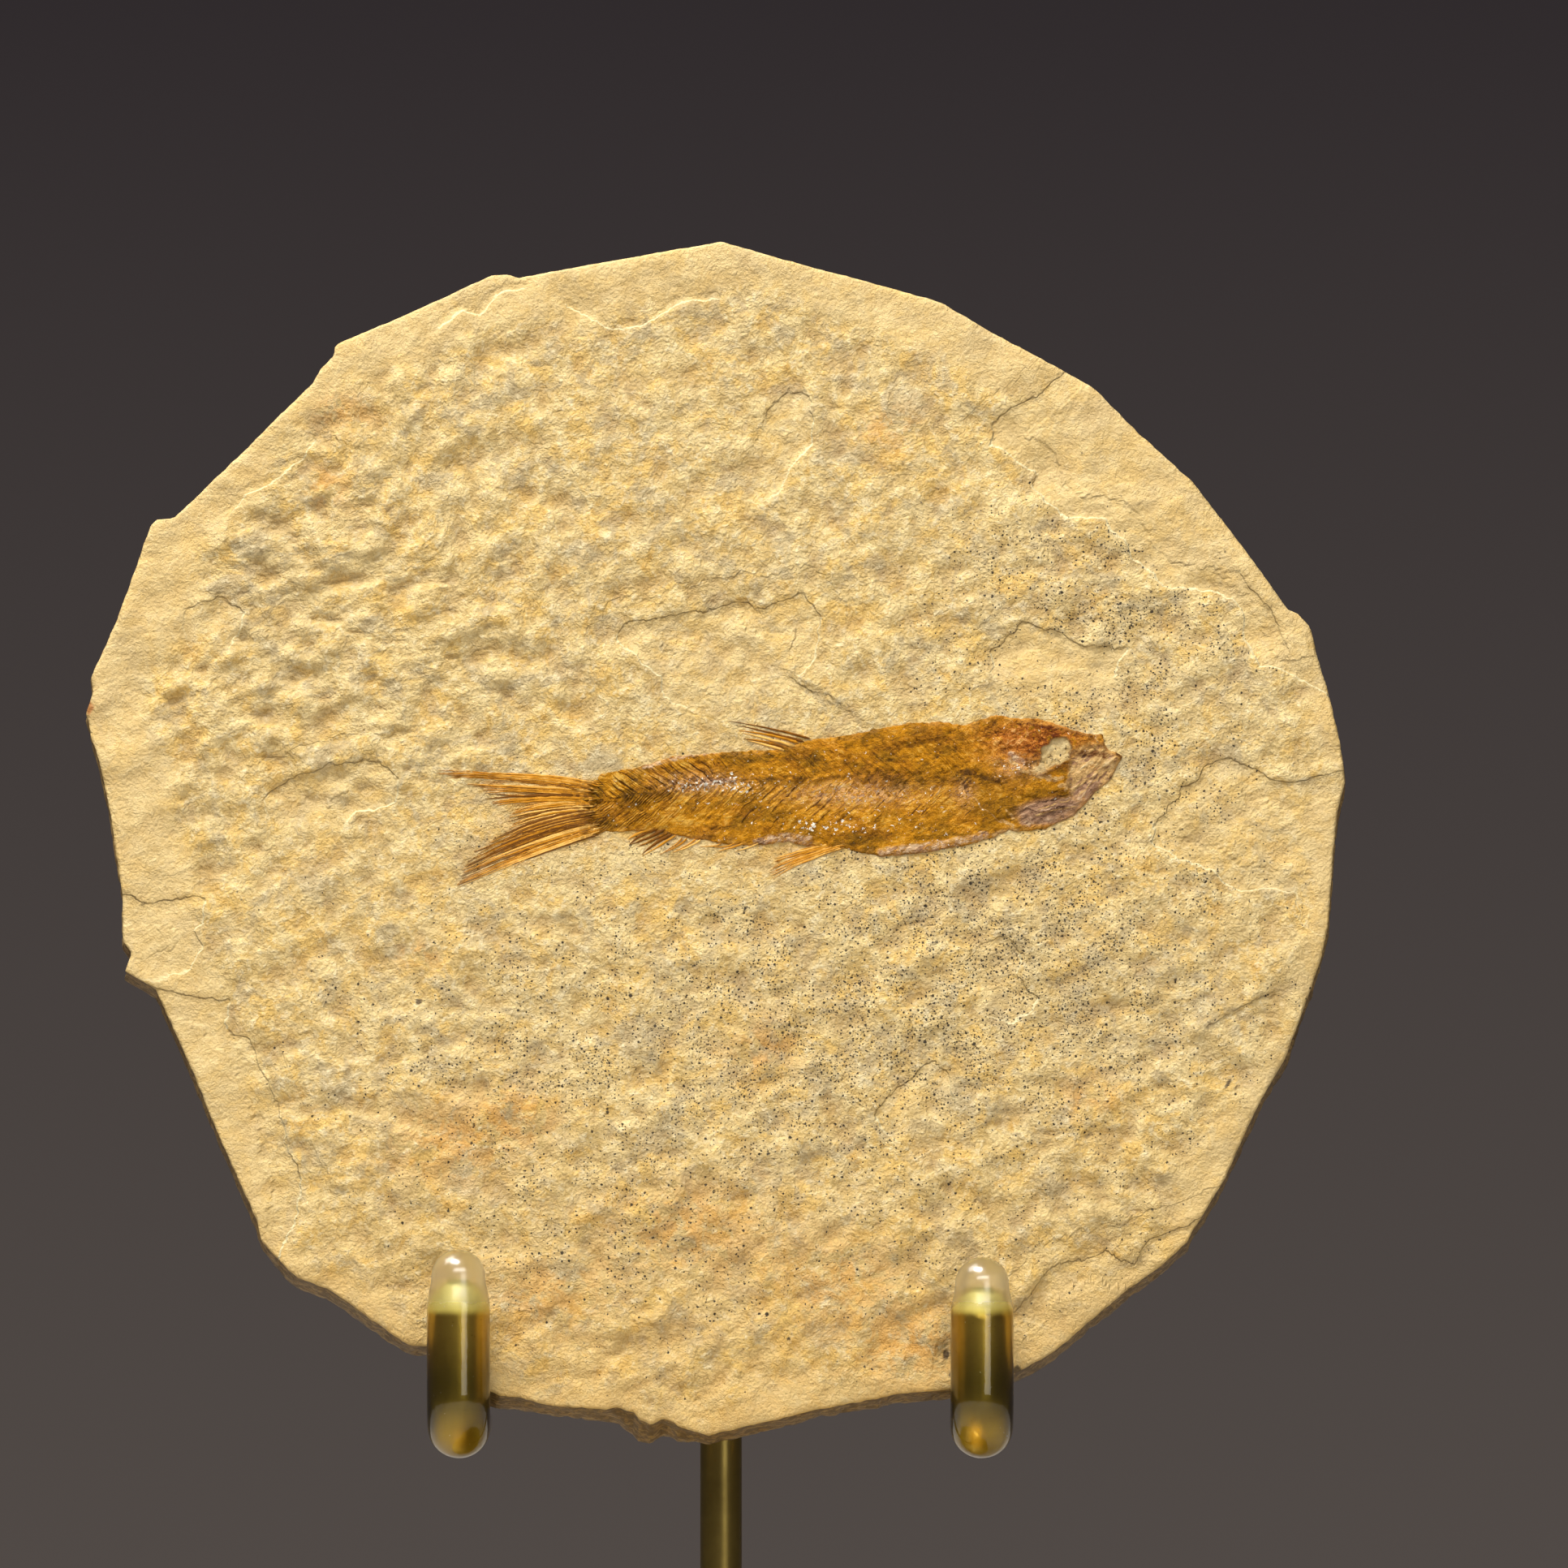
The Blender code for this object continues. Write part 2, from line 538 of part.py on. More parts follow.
def turned(name, profile, steps, collection, finish):
    """A turned shape from a profile of (radius, height) that runs down its outer side."""
    mesh = bpy.data.meshes.new(name)
    points = [Vector((radius, 0, height)) * MM for radius, height in profile]
    mesh.from_pydata(points, [(place, place + 1) for place in range(len(points) - 1)], [])
    obj = add_object(name, mesh, collection, finish)
    screw = obj.modifiers.new("turn", "SCREW")
    screw.steps = steps
    screw.render_steps = steps
    screw.use_merge_vertices = True
    screw.merge_threshold = 0.00001
    screw.use_smooth_shade = False
    return obj


def base_profile():
    socket_floor = BASE_THICKNESS - POST_SOCKET_DEPTH
    return [
        (0, socket_floor), (SLEEVE_BORE, socket_floor), (SLEEVE_BORE, BASE_THICKNESS),
        (BASE_RADIUS - BASE_EDGE, BASE_THICKNESS),
        (BASE_RADIUS - BASE_EDGE * 0.3, BASE_THICKNESS - BASE_EDGE * 0.3),
        (BASE_RADIUS, BASE_THICKNESS - BASE_EDGE), (BASE_RADIUS, BASE_EDGE / 2),
        (BASE_RADIUS - BASE_EDGE / 2, 0), (0, 0),
    ]


def cap_profile():
    centre = REST_LINE_HEIGHT + BACK_REST_HEIGHT
    skirt = centre - CAP_SKIRT
    bore_top = centre - 0.7
    dome = [
        (CAP_RADIUS * math.sin(math.pi / 2 * step / ARC_STEPS),
         centre + CAP_RADIUS * math.cos(math.pi / 2 * step / ARC_STEPS))
        for step in range(ARC_STEPS + 1)
    ]
    return dome + [(CAP_RADIUS, skirt), (SLEEVE_BORE, skirt), (SLEEVE_BORE, bore_top), (0, bore_top)]


def add_post(collection, finish):
    bottom = BASE_THICKNESS - POST_SOCKET_DEPTH + GAP
    top = REST_LINE_HEIGHT + BACK_REST_HEIGHT - 1.0
    mesh = bpy.data.meshes.new("post")
    rod = bmesh.new()
    bmesh.ops.create_cone(
        rod, cap_ends=True, segments=POST_SIDES, radius1=ROD_RADIUS * MM, radius2=ROD_RADIUS * MM,
        depth=(top - bottom) * MM,
    )
    rod.to_mesh(mesh)
    rod.free()
    mesh.shade_smooth()
    mesh.set_sharp_from_angle(angle=math.radians(40))
    obj = add_object("post", mesh, collection, finish)
    obj.location.z = (top + bottom) / 2 * MM


def build():
    clear_scene()
    parts = bpy.data.collections.new("fossil_fish_slab")
    cutters = bpy.data.collections.new("cutters")
    bpy.context.scene.collection.children.link(parts)
    bpy.context.scene.collection.children.link(cutters)
    brass = material("polished_brass", POLISHED_BRASS)
    clear = material("clear_plastic", CLEAR_PLASTIC)

    add_object("limestone_slab", slab_mesh(), parts, material("limestone", LIMESTONE))
    add_object("fossil_fish", fish_mesh(), parts, material("fish_bone", FISH_BONE))
    add_object("cradle_rod", cradle_mesh(parts), parts, brass)
    sleeve("left_prong_sleeve", -1, LEFT_TIP_HEIGHT, parts, cutters, clear)
    sleeve("right_prong_sleeve", 1, RIGHT_TIP_HEIGHT, parts, cutters, clear)
    turned("back_rest_cap", cap_profile(), POST_SIDES, parts, clear)
    turned("base", base_profile(), TURNED_STEPS, parts, brass)
    add_post(parts, brass)


build()
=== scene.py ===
import bpy
import numpy as np
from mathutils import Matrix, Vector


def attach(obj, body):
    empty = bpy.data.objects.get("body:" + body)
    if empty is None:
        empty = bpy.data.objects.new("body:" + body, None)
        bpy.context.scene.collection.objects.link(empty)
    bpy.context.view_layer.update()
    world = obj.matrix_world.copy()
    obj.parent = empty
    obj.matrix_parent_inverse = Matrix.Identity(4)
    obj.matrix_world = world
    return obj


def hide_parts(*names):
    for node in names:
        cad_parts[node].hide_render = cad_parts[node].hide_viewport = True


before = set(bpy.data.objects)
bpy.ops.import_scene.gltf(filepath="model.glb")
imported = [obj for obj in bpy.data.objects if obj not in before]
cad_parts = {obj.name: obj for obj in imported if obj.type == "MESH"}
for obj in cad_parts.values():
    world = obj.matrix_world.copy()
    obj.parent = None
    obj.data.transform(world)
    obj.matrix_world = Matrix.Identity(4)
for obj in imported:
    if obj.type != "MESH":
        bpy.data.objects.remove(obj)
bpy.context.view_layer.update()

# Limestone slab: a plate of laminated lake limestone, split along its bedding and nipped to a rough round. The
# face is rough and lumpy with thin flakes lifted off it, and the rim shows small shell-shaped chips. It leans
# back a little on the stand, standing on two prongs.
MM = 0.001
LEAN = np.radians(8.0)
REST_LINE_HEIGHT = 66.0
REST_LINE_FRONT = -21.0
SLAB_THICKNESS = 8.5
SLAB_CENTRE = np.array([-0.5, 66.0])
SLAB_OUTLINE = np.array([
    (0.1, 137.5), (7.5, 135.3), (18.0, 132.6), (26.2, 130.3), (31.9, 126.9), (40.6, 122.2), (44.7, 119.9),
    (49.7, 114.8), (56.5, 108.6), (60.4, 103.5), (63.8, 98.9), (67.7, 93.4), (68.9, 92.9), (70.4, 91.3),
    (71.3, 87.5), (72.5, 83.6), (73.9, 77.5), (74.5, 72.8), (73.5, 68.9), (73.0, 63.4), (72.4, 55.6),
    (71.5, 51.5), (69.8, 46.6), (67.3, 39.9), (64.4, 34.9), (62.3, 30.7), (60.1, 25.6), (56.8, 20.3),
    (55.5, 18.0), (52.6, 15.3), (47.7, 11.8), (42.8, 7.6), (39.8, 5.1), (36.6, 3.2), (34.7, 2.2),
    (31.0, 2.1), (27.4, 0.5), (20.5, -0.1), (9.2, -2.4), (3.0, -4.0), (-1.4, -4.9), (-4.5, -4.2), (-8.1, -4.4),
    (-10.5, -3.7), (-13.4, -2.4), (-20.1, -1.5), (-26.6, -0.4), (-30.8, 2.2), (-34.9, 5.4), (-37.1, 5.7),
    (-39.9, 7.5), (-46.9, 12.5), (-50.6, 13.7), (-52.5, 15.8), (-54.7, 18.0), (-55.2, 20.5), (-60.1, 31.5),
    (-62.9, 38.4), (-67.4, 48.1), (-71.0, 50.2), (-70.2, 52.4), (-71.3, 53.8), (-71.4, 59.0), (-72.9, 69.2),
    (-74.2, 75.3), (-75.1, 77.7), (-75.8, 81.0), (-75.0, 83.4), (-75.2, 85.3), (-72.1, 92.2), (-68.2, 103.3),
    (-67.4, 104.1), (-65.4, 104.3), (-57.7, 111.7), (-48.8, 120.6), (-47.9, 122.2), (-46.3, 123.8),
    (-46.2, 125.1), (-37.4, 128.9), (-27.4, 133.5), (-25.5, 133.6), (-24.3, 133.2),
])
# The nipped rim, by direction in degrees from the centre: how far the back edge stands out past the front edge,
# and how much of that shows from in front.
RIM_SLOPES = np.array([
    (-180, 0.4, 0.1), (-150, 0.4, 0.05), (-138, 0.5, 0.2), (-120, 0.5, 0.3), (-113, 1.0, 0.8), (-106, 0.5, 0.3),
    (-101, 0.8, 0.6), (-98, 1.9, 1.7), (-95, 1.5, 1.3), (-92, 0.45, 0.2), (-78, 0.35, 0.1), (-60, 0.4, 0.15),
    (-35, 0.4, 0.1), (-20, 0.4, 0.05), (0, 0.4, 0), (90, 0.4, 0), (150, 0.4, 0), (180, 0.4, 0.1),
])
# Flaked scars: depth, the side with the sharpest lip, the share of the depth left at the other side, outline.
SCARS = {
    "above_back": (0.62, (0.1, 1.0), 0.4, [
        (-12.5, 90.0), (-11.5, 91.5), (-8.5, 92.0), (3.0, 94.5), (5.5, 93.5), (10.0, 95.5), (12.0, 92.5),
        (11.5, 87.5), (9.0, 85.0), (16.0, 81.0), (16.5, 77.0), (4.5, 75.0), (0.5, 77.0), (-2.0, 78.5),
        (-3.0, 81.0), (-7.0, 83.0), (-7.5, 85.5)]),
    "behind_tail": (0.55, (0.2, 1.0), 0.15, [
        (-54.0, 72.0), (-50.0, 73.5), (-47.5, 74.5), (-42.0, 75.5), (-40.5, 75.5), (-38.5, 73.0),
        (-38.5, 70.5), (-43.5, 69.0), (-46.0, 66.0), (-46.0, 63.5), (-49.5, 62.5), (-52.5, 64.5),
        (-54.5, 70.5)]),
    "far_left": (0.35, (0.6, 1.0), 0.5, [
        (-64.5, 91.5), (-64.0, 93.5), (-60.0, 95.0), (-57.0, 93.0), (-58.5, 88.5), (-60.0, 87.5),
        (-63.0, 88.0)]),
    "below_head": (0.5, (1.0, 0.2), 0.4, [
        (29.5, 51.5), (33.0, 54.5), (34.5, 54.0), (36.0, 52.0), (35.0, 50.0), (38.0, 47.0), (34.5, 44.0),
        (29.5, 45.5)]),
    "below_belly": (0.5, (-0.4, 1.0), 0.35, [
        (21.0, 36.5), (24.5, 39.0), (25.5, 40.0), (27.0, 38.0), (28.0, 30.5), (23.5, 28.0), (20.0, 31.0),
        (18.0, 33.0)]),
    "above_head": (0.5, (0.5, 1.0), 0.3, [
        (31.5, 78.0), (32.5, 86.5), (32.0, 88.0), (36.0, 91.5), (40.0, 91.0), (42.5, 89.5), (48.5, 88.5),
        (47.0, 85.5), (48.5, 81.0), (46.5, 78.0)]),
    "top_middle": (0.4, (1.0, 0.2), 0.4, [
        (4.0, 113.5), (5.5, 117.5), (8.5, 120.0), (10.0, 119.5), (11.0, 116.0), (10.5, 113.0), (5.5, 106.0),
        (1.5, 107.0), (1.5, 109.0)]),
    "upper_right": (0.45, (-1.0, -0.6), 0.6, [
        (39.5, 120.5), (32.5, 115.5), (32.0, 113.0), (38.0, 110.0), (37.0, 108.0), (41.5, 104.0),
        (46.0, 104.0), (48.0, 102.0), (49.0, 99.5), (53.5, 96.0), (59.5, 95.5), (62.5, 93.5), (63.0, 89.5),
        (64.5, 86.5), (67.5, 86.0), (78.0, 80.0), (80.0, 95.0), (50.0, 130.0)]),
    "right": (0.45, (-0.4, 1.0), 0.35, [
        (79.0, 75.5), (68.0, 72.5), (62.5, 75.0), (60.5, 76.0), (58.0, 74.5), (53.5, 70.0), (51.5, 67.5),
        (52.0, 65.5), (54.5, 63.5), (58.0, 62.5), (61.0, 60.0), (68.5, 59.5), (69.0, 56.0), (78.0, 50.0)]),
    "lower_right": (0.6, (-0.6, 1.0), 0.8, [
        (31.0, 5.0), (38.0, 13.5), (39.0, 15.0), (42.5, 16.0), (46.0, 17.0), (49.0, 15.5), (51.0, 18.5),
        (60.0, 22.0), (70.0, 0.0), (31.0, -5.0)]),
    "lower_left": (0.45, (1.0, 0.2), 0.6, [
        (-73.0, 49.5), (-61.5, 47.0), (-58.5, 46.5), (-58.5, 43.5), (-56.0, 42.0), (-54.5, 38.0),
        (-52.0, 32.5), (-51.5, 28.5), (-50.0, 26.0), (-50.5, 21.0), (-52.5, 16.0), (-60.0, 10.0),
        (-80.0, 40.0)]),
    "left": (0.4, (0.6, 1.0), 0.3, [
        (-78.0, 63.0), (-69.5, 58.5), (-63.0, 59.0), (-61.5, 58.5), (-62.5, 55.0), (-61.5, 52.5),
        (-64.5, 50.0), (-76.0, 47.5)]),
}
# Hairline steps: how far one side stands above the other, and the line.
STEPS = [
    (-0.28, [(-58.0, 105.5), (-56.9, 106.9), (-54.0, 108.4), (-50.1, 111.3), (-48.5, 113.5)]),
    (-0.30, [(-33.7, 127.0), (-31.0, 129.2), (-28.8, 128.7), (-26.5, 131.3), (-24.0, 132.0)]),
    (-0.30, [(-18.2, 129.6), (-13.0, 127.0), (-9.5, 127.3), (-5.0, 130.0), (-0.8, 130.6)]),
    (0.30, [(58.3, 43.6), (61.5, 46.0), (65.0, 47.4)]),
    (0.40, [(8.4, 85.2), (11.0, 83.6), (13.0, 83.2), (15.9, 80.8)]),
    (0.35, [(62.0, 97.5), (64.5, 94.5), (66.5, 92.0), (67.5, 89.0)]),
]
FISH_FLAT = [(-34, 68), (-20, 75), (5, 81), (30, 82), (48, 80), (49, 74), (38, 66), (8, 60), (-12, 63), (-31, 59)]
TAIL_STAIN = [
    (-34, 74.2), (-13, 72.4), (-13, 67), (-21.5, 63.6), (-32, 59.6), (-30, 63), (-27, 66), (-24.5, 67.4),
    (-24.8, 70), (-27, 70.4), (-29, 72.2),
]
# The point that the tail's rays spread from, and the radius of a circle about it.
TAIL_ROOT, TAIL_CIRCLE = (-1.5, 71.4), 15
GRAIN_SLANT = 24
FAR_FROM_LIP = 3.0
FACE_COUNT = 265
RIM_PARTS = np.array([0.04, 0.1, 0.2, 0.34, 0.5, 0.66, 0.83, 1.0])


def on_face(across, up, out):
    """Point in metres at `across` and `up` the leaning face and `out` in front of it, all in millimetres.

    The face turns back about the line that it rests on: going up moves it back by the lean's tangent, and going
    out moves it forward by its cosine and up by its sine.
    """
    back = REST_LINE_FRONT + up * np.tan(LEAN) - out * np.cos(LEAN)
    return np.stack([across, back, REST_LINE_HEIGHT + up + out * np.sin(LEAN)], axis=-1) * MM


def smooth(value):
    """0 below 0, 1 above 1, and an S-shaped cubic between them."""
    value = np.clip(value, 0, 1)
    return value * value * (3 - 2 * value)


lattice = np.random.default_rng(11)
SHUFFLED = lattice.permutation(512)
SLOPE_TURNS = lattice.random(512) * 2 * np.pi


def wander(x, y, seed=0):
    """Gradient noise from -1 to 1: the corners of each unit cell hold a random slope, blended by a quintic."""
    column, row = np.floor(x).astype(int), np.floor(y).astype(int)
    dx, dy = x - column, y - row
    blend_x, blend_y = (d ** 3 * (d * (d * 6 - 15) + 10) for d in (dx, dy))

    def corner(right, above):
        turn = SLOPE_TURNS[(SHUFFLED[(SHUFFLED[(column + right) % 512] + row + above) % 512] + seed * 37) % 512]
        return np.cos(turn) * (dx - right) + np.sin(turn) * (dy - above)

    low = corner(0, 0) * (1 - blend_x) + corner(1, 0) * blend_x
    high = corner(0, 1) * (1 - blend_x) + corner(1, 1) * blend_x
    return (low * (1 - blend_y) + high * blend_y) * 1.5


def layered(x, y, size, layers, seed=0, turn=0.0, stretch=1.0):
    """Sum of noises, each half the size and strength of the last, drawn out by `stretch` along `turn`."""
    along = x * np.cos(turn) + y * np.sin(turn)
    athwart = y * np.cos(turn) - x * np.sin(turn)
    total = 0
    for layer in range(layers):
        scale = 2 ** layer / size
        noise = wander(along * scale / stretch + 31 * layer, athwart * scale + 17 * layer, seed + layer)
        total = total + noise / 2 ** layer
    return total


def line_distance(x, y, line, closed=False):
    """Distance to a line's nearest segment, its side, positive on the left, and the upward share of it."""
    line = np.asarray(line, float)
    starts = line if closed else line[:-1]
    runs = (np.roll(line, -1, axis=0) if closed else line[1:]) - starts
    offset_x = x[..., None] - starts[:, 0]
    offset_y = y[..., None] - starts[:, 1]
    part = np.clip((offset_x * runs[:, 0] + offset_y * runs[:, 1]) / (runs ** 2).sum(1), 0, 1)
    above = offset_y - part * runs[:, 1]
    gaps = np.hypot(offset_x - part * runs[:, 0], above)
    nearest = gaps.argmin(-1)[..., None]
    turned = runs[:, 0] * offset_y - runs[:, 1] * offset_x
    side, above = (np.take_along_axis(row, nearest, -1)[..., 0] for row in (turned, above))
    gap = gaps.min(-1)
    return gap, np.sign(side), above / np.maximum(gap, 1e-6)


def depth_inside(x, y, outline):
    """Distance to an outline, positive inside it, and how fast it grows upwards.

    A point is inside if a line to its right crosses the outline an odd number of times.
    """
    outline = np.asarray(outline, float)
    after = np.roll(outline, -1, axis=0)
    rises = (outline[:, 1] > y[..., None]) != (after[:, 1] > y[..., None])
    run, rise = (after - outline).T
    slope = run / np.where(rise == 0, 1e-9, rise)
    crossed = rises & (x[..., None] < outline[:, 0] + (y[..., None] - outline[:, 1]) * slope)
    gap, _, above = line_distance(x, y, outline, closed=True)
    sign = np.where(crossed.sum(-1) % 2 == 1, 1, -1)
    return sign * gap, sign * above


def hills(x, y, *rows):
    """Sum of Gaussian hills, each given by its height, its centre, and its reach across and upwards."""
    return sum(
        height * np.exp(-((x - centre_x) / wide) ** 2 - ((y - centre_y) / high) ** 2)
        for height, centre_x, centre_y, wide, high in rows
    )


def ray_turn(x, y):
    """Distance round the point that the tail's rays spread from, on the circle about it."""
    return TAIL_CIRCLE * np.arctan2(y - TAIL_ROOT[1], TAIL_ROOT[0] - x)


def square_to_disc(count):
    """Radius and angle for a square grid, each square ring of it carried to a circle in even steps."""
    side = np.linspace(-1, 1, count)
    right, above = np.meshgrid(side, side)
    beside = abs(right) >= abs(above)
    from_side = np.pi / 4 * above / np.where(beside & (right != 0), right, 1) + np.pi * (right < 0)
    from_top = np.pi / 2 - np.pi / 4 * right / np.where(beside, 1, above) + np.pi * (above < 0)
    return np.maximum(abs(right), abs(above)), np.where(beside, from_side, from_top)


def numbered(rows, columns, first=0):
    """Indices of the points of a grid, row by row."""
    return first + np.arange(rows * columns).reshape(rows, columns)


def square_rim(count):
    """Indices of a square grid's outer points, once round and anticlockwise from its lower left corner."""
    grid = numbered(count, count)
    return np.concatenate([grid[0, :-1], grid[:-1, -1], grid[-1, :0:-1], grid[:0:-1, 0]])


def grid_faces(grid):
    """Four-sided faces of a grid of indices, anticlockwise with columns to the right and rows upwards."""
    return np.stack([grid[:-1, :-1], grid[:-1, 1:], grid[1:, 1:], grid[1:, :-1]], -1).reshape(-1, 4)


def ring_faces(rings):
    """Four-sided faces between rings of point indices that close on themselves."""
    after = np.roll(rings, -1, axis=1)
    return np.stack([rings[:-1], rings[1:], after[1:], after[:-1]], -1).reshape(-1, 4)


def add_piece(name, points, faces, slot, stands_for=(), masks=None, finish=None):
    """The piece as an object at the origin, with its masks as point attributes and its CAD nodes hidden."""
    mesh = bpy.data.meshes.new(name)
    corners = [tuple(face) for group in faces for face in np.asarray(group).tolist()]
    mesh.from_pydata(points.reshape(-1, 3).tolist(), [], corners)
    for mask, values in (masks or {}).items():
        layer = mesh.attributes.new(mask, "FLOAT", "POINT")
        layer.data.foreach_set("value", np.ascontiguousarray(values, np.float32).ravel())
    mesh.shade_smooth()
    mesh.update()
    piece = bpy.data.objects.new(name, mesh)
    bpy.context.scene.collection.objects.link(piece)
    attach(piece, "root")
    if stands_for:
        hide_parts(*stands_for)
    if finish:
        mesh.materials.append(finish)
    return piece


# Even steps along the outline, then its radius for any direction from the centre.
legs = np.roll(SLAB_OUTLINE, -1, axis=0) - SLAB_OUTLINE
walked = np.concatenate([[0], np.cumsum(np.hypot(*legs.T))])
closed_outline = np.vstack([SLAB_OUTLINE, SLAB_OUTLINE[:1]])
steps_round = np.linspace(0, walked[-1], 6000, endpoint=False)
traced = np.stack([np.interp(steps_round, walked, along) for along in closed_outline.T], -1) - SLAB_CENTRE
traced_turn = np.arctan2(traced[:, 1], traced[:, 0])


def rim_slope(turn, column):
    """One column of RIM_SLOPES in a direction."""
    return np.interp((np.degrees(turn) + 180) % 360 - 180, RIM_SLOPES[:, 0], RIM_SLOPES[:, column])


def rim_radius(turn):
    """Radius of the outline in a direction, with fine nibbles cut in from it."""
    radius = np.interp(turn, traced_turn, np.hypot(*traced.T), period=2 * np.pi)
    shown = rim_slope(turn, 2) * (1 + 0.8 * layered(turn * 60, turn * 0 + 8.1, 3.5, 3, seed=6))
    nibbles = 0.07 * layered(turn * 60, turn * 0 + 3.3, 1.1, 3, seed=5)
    return radius - shown + np.minimum(nibbles, 0.05) - 0.05


def face_relief(across, up, from_rim):
    """Height of the split face and its masks.

    Broad swells and slanting lumps, with small flat-topped flakes where they are stepped, fade towards the rim
    and round the fish. Each scar is a sheet lifted off: the face drops over a ragged lip and rises again to the
    far side.
    """
    wide = 0.5 + 5 * smooth((-across - 48) / 14) + 3.5 * smooth((up - 112) / 16)
    border = 1 - smooth((from_rim - wide - 3.0 * layered(across, up, 12, 4, seed=9)) / 4.0)
    fish = -depth_inside(across, up, FISH_FLAT)[0]
    calm = smooth(fish / 5)
    coarse = 0.62 + 0.55 * smooth((-across - 8) / 30) * smooth((up - 60) / 20) + 0.2 * smooth((45 - up) / 15)
    swell = 0.30 * wander(across / 15, up / 12, 1) + 0.30 * layered(across, up, 6, 1, 2)
    knobs = layered(across, up, 3.6, 5, 3, np.radians(GRAIN_SLANT), 1.12)
    steps_up = 2.2
    stepped = knobs * steps_up
    flakes = (np.floor(stepped) + smooth((stepped - np.floor(stepped)) * 2.2 - 0.6)) / steps_up
    rough = coarse * (1 - 0.7 * border) * (0.35 + 0.65 * calm) * (1 - 0.15 * smooth((up - 96) / 24))
    height = swell * (0.3 + 0.7 * calm) + rough * (0.45 * knobs + 0.24 * flakes)
    pits = smooth((wander(across / 2.0, up / 1.5, 21) - 0.35) * 3)
    height -= 0.22 * rough * pits
    height -= 0.22 * np.clip(1 - from_rim / 0.4, 0, 1)

    warp_x = 0.5 * layered(across, up, 3.2, 2, 40) + 0.30 * layered(across, up, 1.1, 2, 42)
    warp_y = 0.5 * layered(across, up, 3.2, 2, 50) + 0.30 * layered(across, up, 1.1, 2, 52)
    scar, lip_strength, lip_faces_up = (np.zeros_like(across) for _ in range(3))
    lip = np.full_like(across, FAR_FROM_LIP)
    for depth, lean, left, outline in SCARS.values():
        outline = np.array(outline)
        inside, grows_up = depth_inside(across + warp_x, up + warp_y, outline)
        lean = np.array(lean) / np.hypot(*lean)
        reach = outline @ lean
        along = np.clip((across * lean[0] + up * lean[1] - reach.min()) / (reach.max() - reach.min()), 0, 1)
        here = depth * (left + (1 - left) * smooth(along * 1.25 - 0.1)) * (0.25 + 0.75 * calm) * 0.6
        floor = smooth(inside / 0.4 + 0.5)
        height -= here * floor
        height -= 0.5 * rough * 0.24 * knobs * floor
        nearer = abs(inside) < abs(lip)
        lip = np.where(nearer, inside, lip)
        lip_faces_up = np.where(nearer, grows_up, lip_faces_up)
        lip_strength = np.where(nearer, here / 0.28, lip_strength)
        scar = np.maximum(scar, floor * smooth(here / 0.21))
    for lift, line in STEPS:
        gap, side, above = line_distance(across + warp_x * 0.5, up + warp_y * 0.5, line)
        signed = gap * side
        height += lift * (signed > 0) * smooth(1 - gap / 5) * smooth(1.2 - gap / 6)
        nearer = gap < abs(lip)
        lip = np.where(nearer, -signed * np.sign(lift), lip)
        lip_faces_up = np.where(nearer, -side * above * np.sign(lift), lip_faces_up)
        lip_strength = np.where(nearer, 0.7 * smooth(1.5 - gap), lip_strength)

    specks = hills(
        across, up, (0.75, 44, 92, 15, 14), (0.95, 33, 53, 19, 12), (0.75, 14, 38, 42, 24),
        (0.5, -14, 25, 18, 16), (0.35, 52, 76, 9, 14),
    )
    specks = np.clip(1.45 * specks + 0.55 * layered(across, up, 7, 3, 60) * smooth(specks * 3), 0, 1.8)
    specks *= 0.3 + 1.1 * smooth(0.5 + 1.2 * layered(across, up, 4.5, 3, 64))
    specks *= (1 - 0.45 * smooth((40 - up) / 14)) * (1 - border * 0.6) * (1 - 0.85 * scar * (up > 84))
    ochre = hills(
        across, up, (1, 5, 41, 4.5, 4), (1, -33, 30, 7, 5), (1, 23, 6, 7, 4), (1, -4, 20, 9, 5),
        (0.8, 14, 14, 8, 5), (0.8, -20, 12, 7, 4), (1, 44, 35, 3.5, 2.5), (1, -45, 117, 4, 2.5),
        (1, -47, 108, 3, 3), (1, -36, 52, 3, 2), (1, -24, 33, 5, 4), (1, 20, 115, 4, 2.5),
    )
    marks = hills(
        across, up, (1, -35.9, 46.6, 0.5, 0.4), (1, 26.8, 4.8, 0.45, 0.6), (1, 27.6, 2.6, 0.8, 0.5),
        (1, 35.0, 3.0, 0.9, 0.5),
    )
    crumbs = smooth(0.5 + 2 * wander(across / 0.8, up / 0.8, 8))
    marks = marks + hills(across, up, (0.8, 60.7, 36.8, 1.3, 1.0)) * crumbs
    halo = hills(across, up, (1, -19, 69.0, 7.0, 3.0)) + 0.6 * smooth(-fish / 4 - 0.3)
    rusty_line = line_distance(across, up, [(-74.2, 88.0), (-72.6, 94.2)])[0]
    tail = smooth(depth_inside(across + warp_x, up + warp_y, TAIL_STAIN)[0] / 1.5 + 0.3)
    masks = {
        "border": border, "smooth_scar": scar * (0.55 + 0.45 * (up > 82) * (across > 25)), "specks": specks,
        "lip": lip, "lip_strength": lip_strength, "lip_faces_up": lip_faces_up,
        "tail": tail * smooth((across + 32) / 9), "ray_turn": ray_turn(across, up), "ray_reach": -across,
        "rusty": np.exp(-(rusty_line / 0.35) ** 2) + hills(across, up, (1, -75.4, 81.6, 0.5, 1.0)),
        "low": smooth((34 - up) / 34), "ochre": np.clip(ochre, 0, 1), "marks": np.clip(marks, 0, 1),
        "halo": halo, "hollow": np.clip(0.5 - knobs * 0.55 + 0.3 * pits, 0, 1), "rim": np.zeros_like(across),
    }
    return height, masks


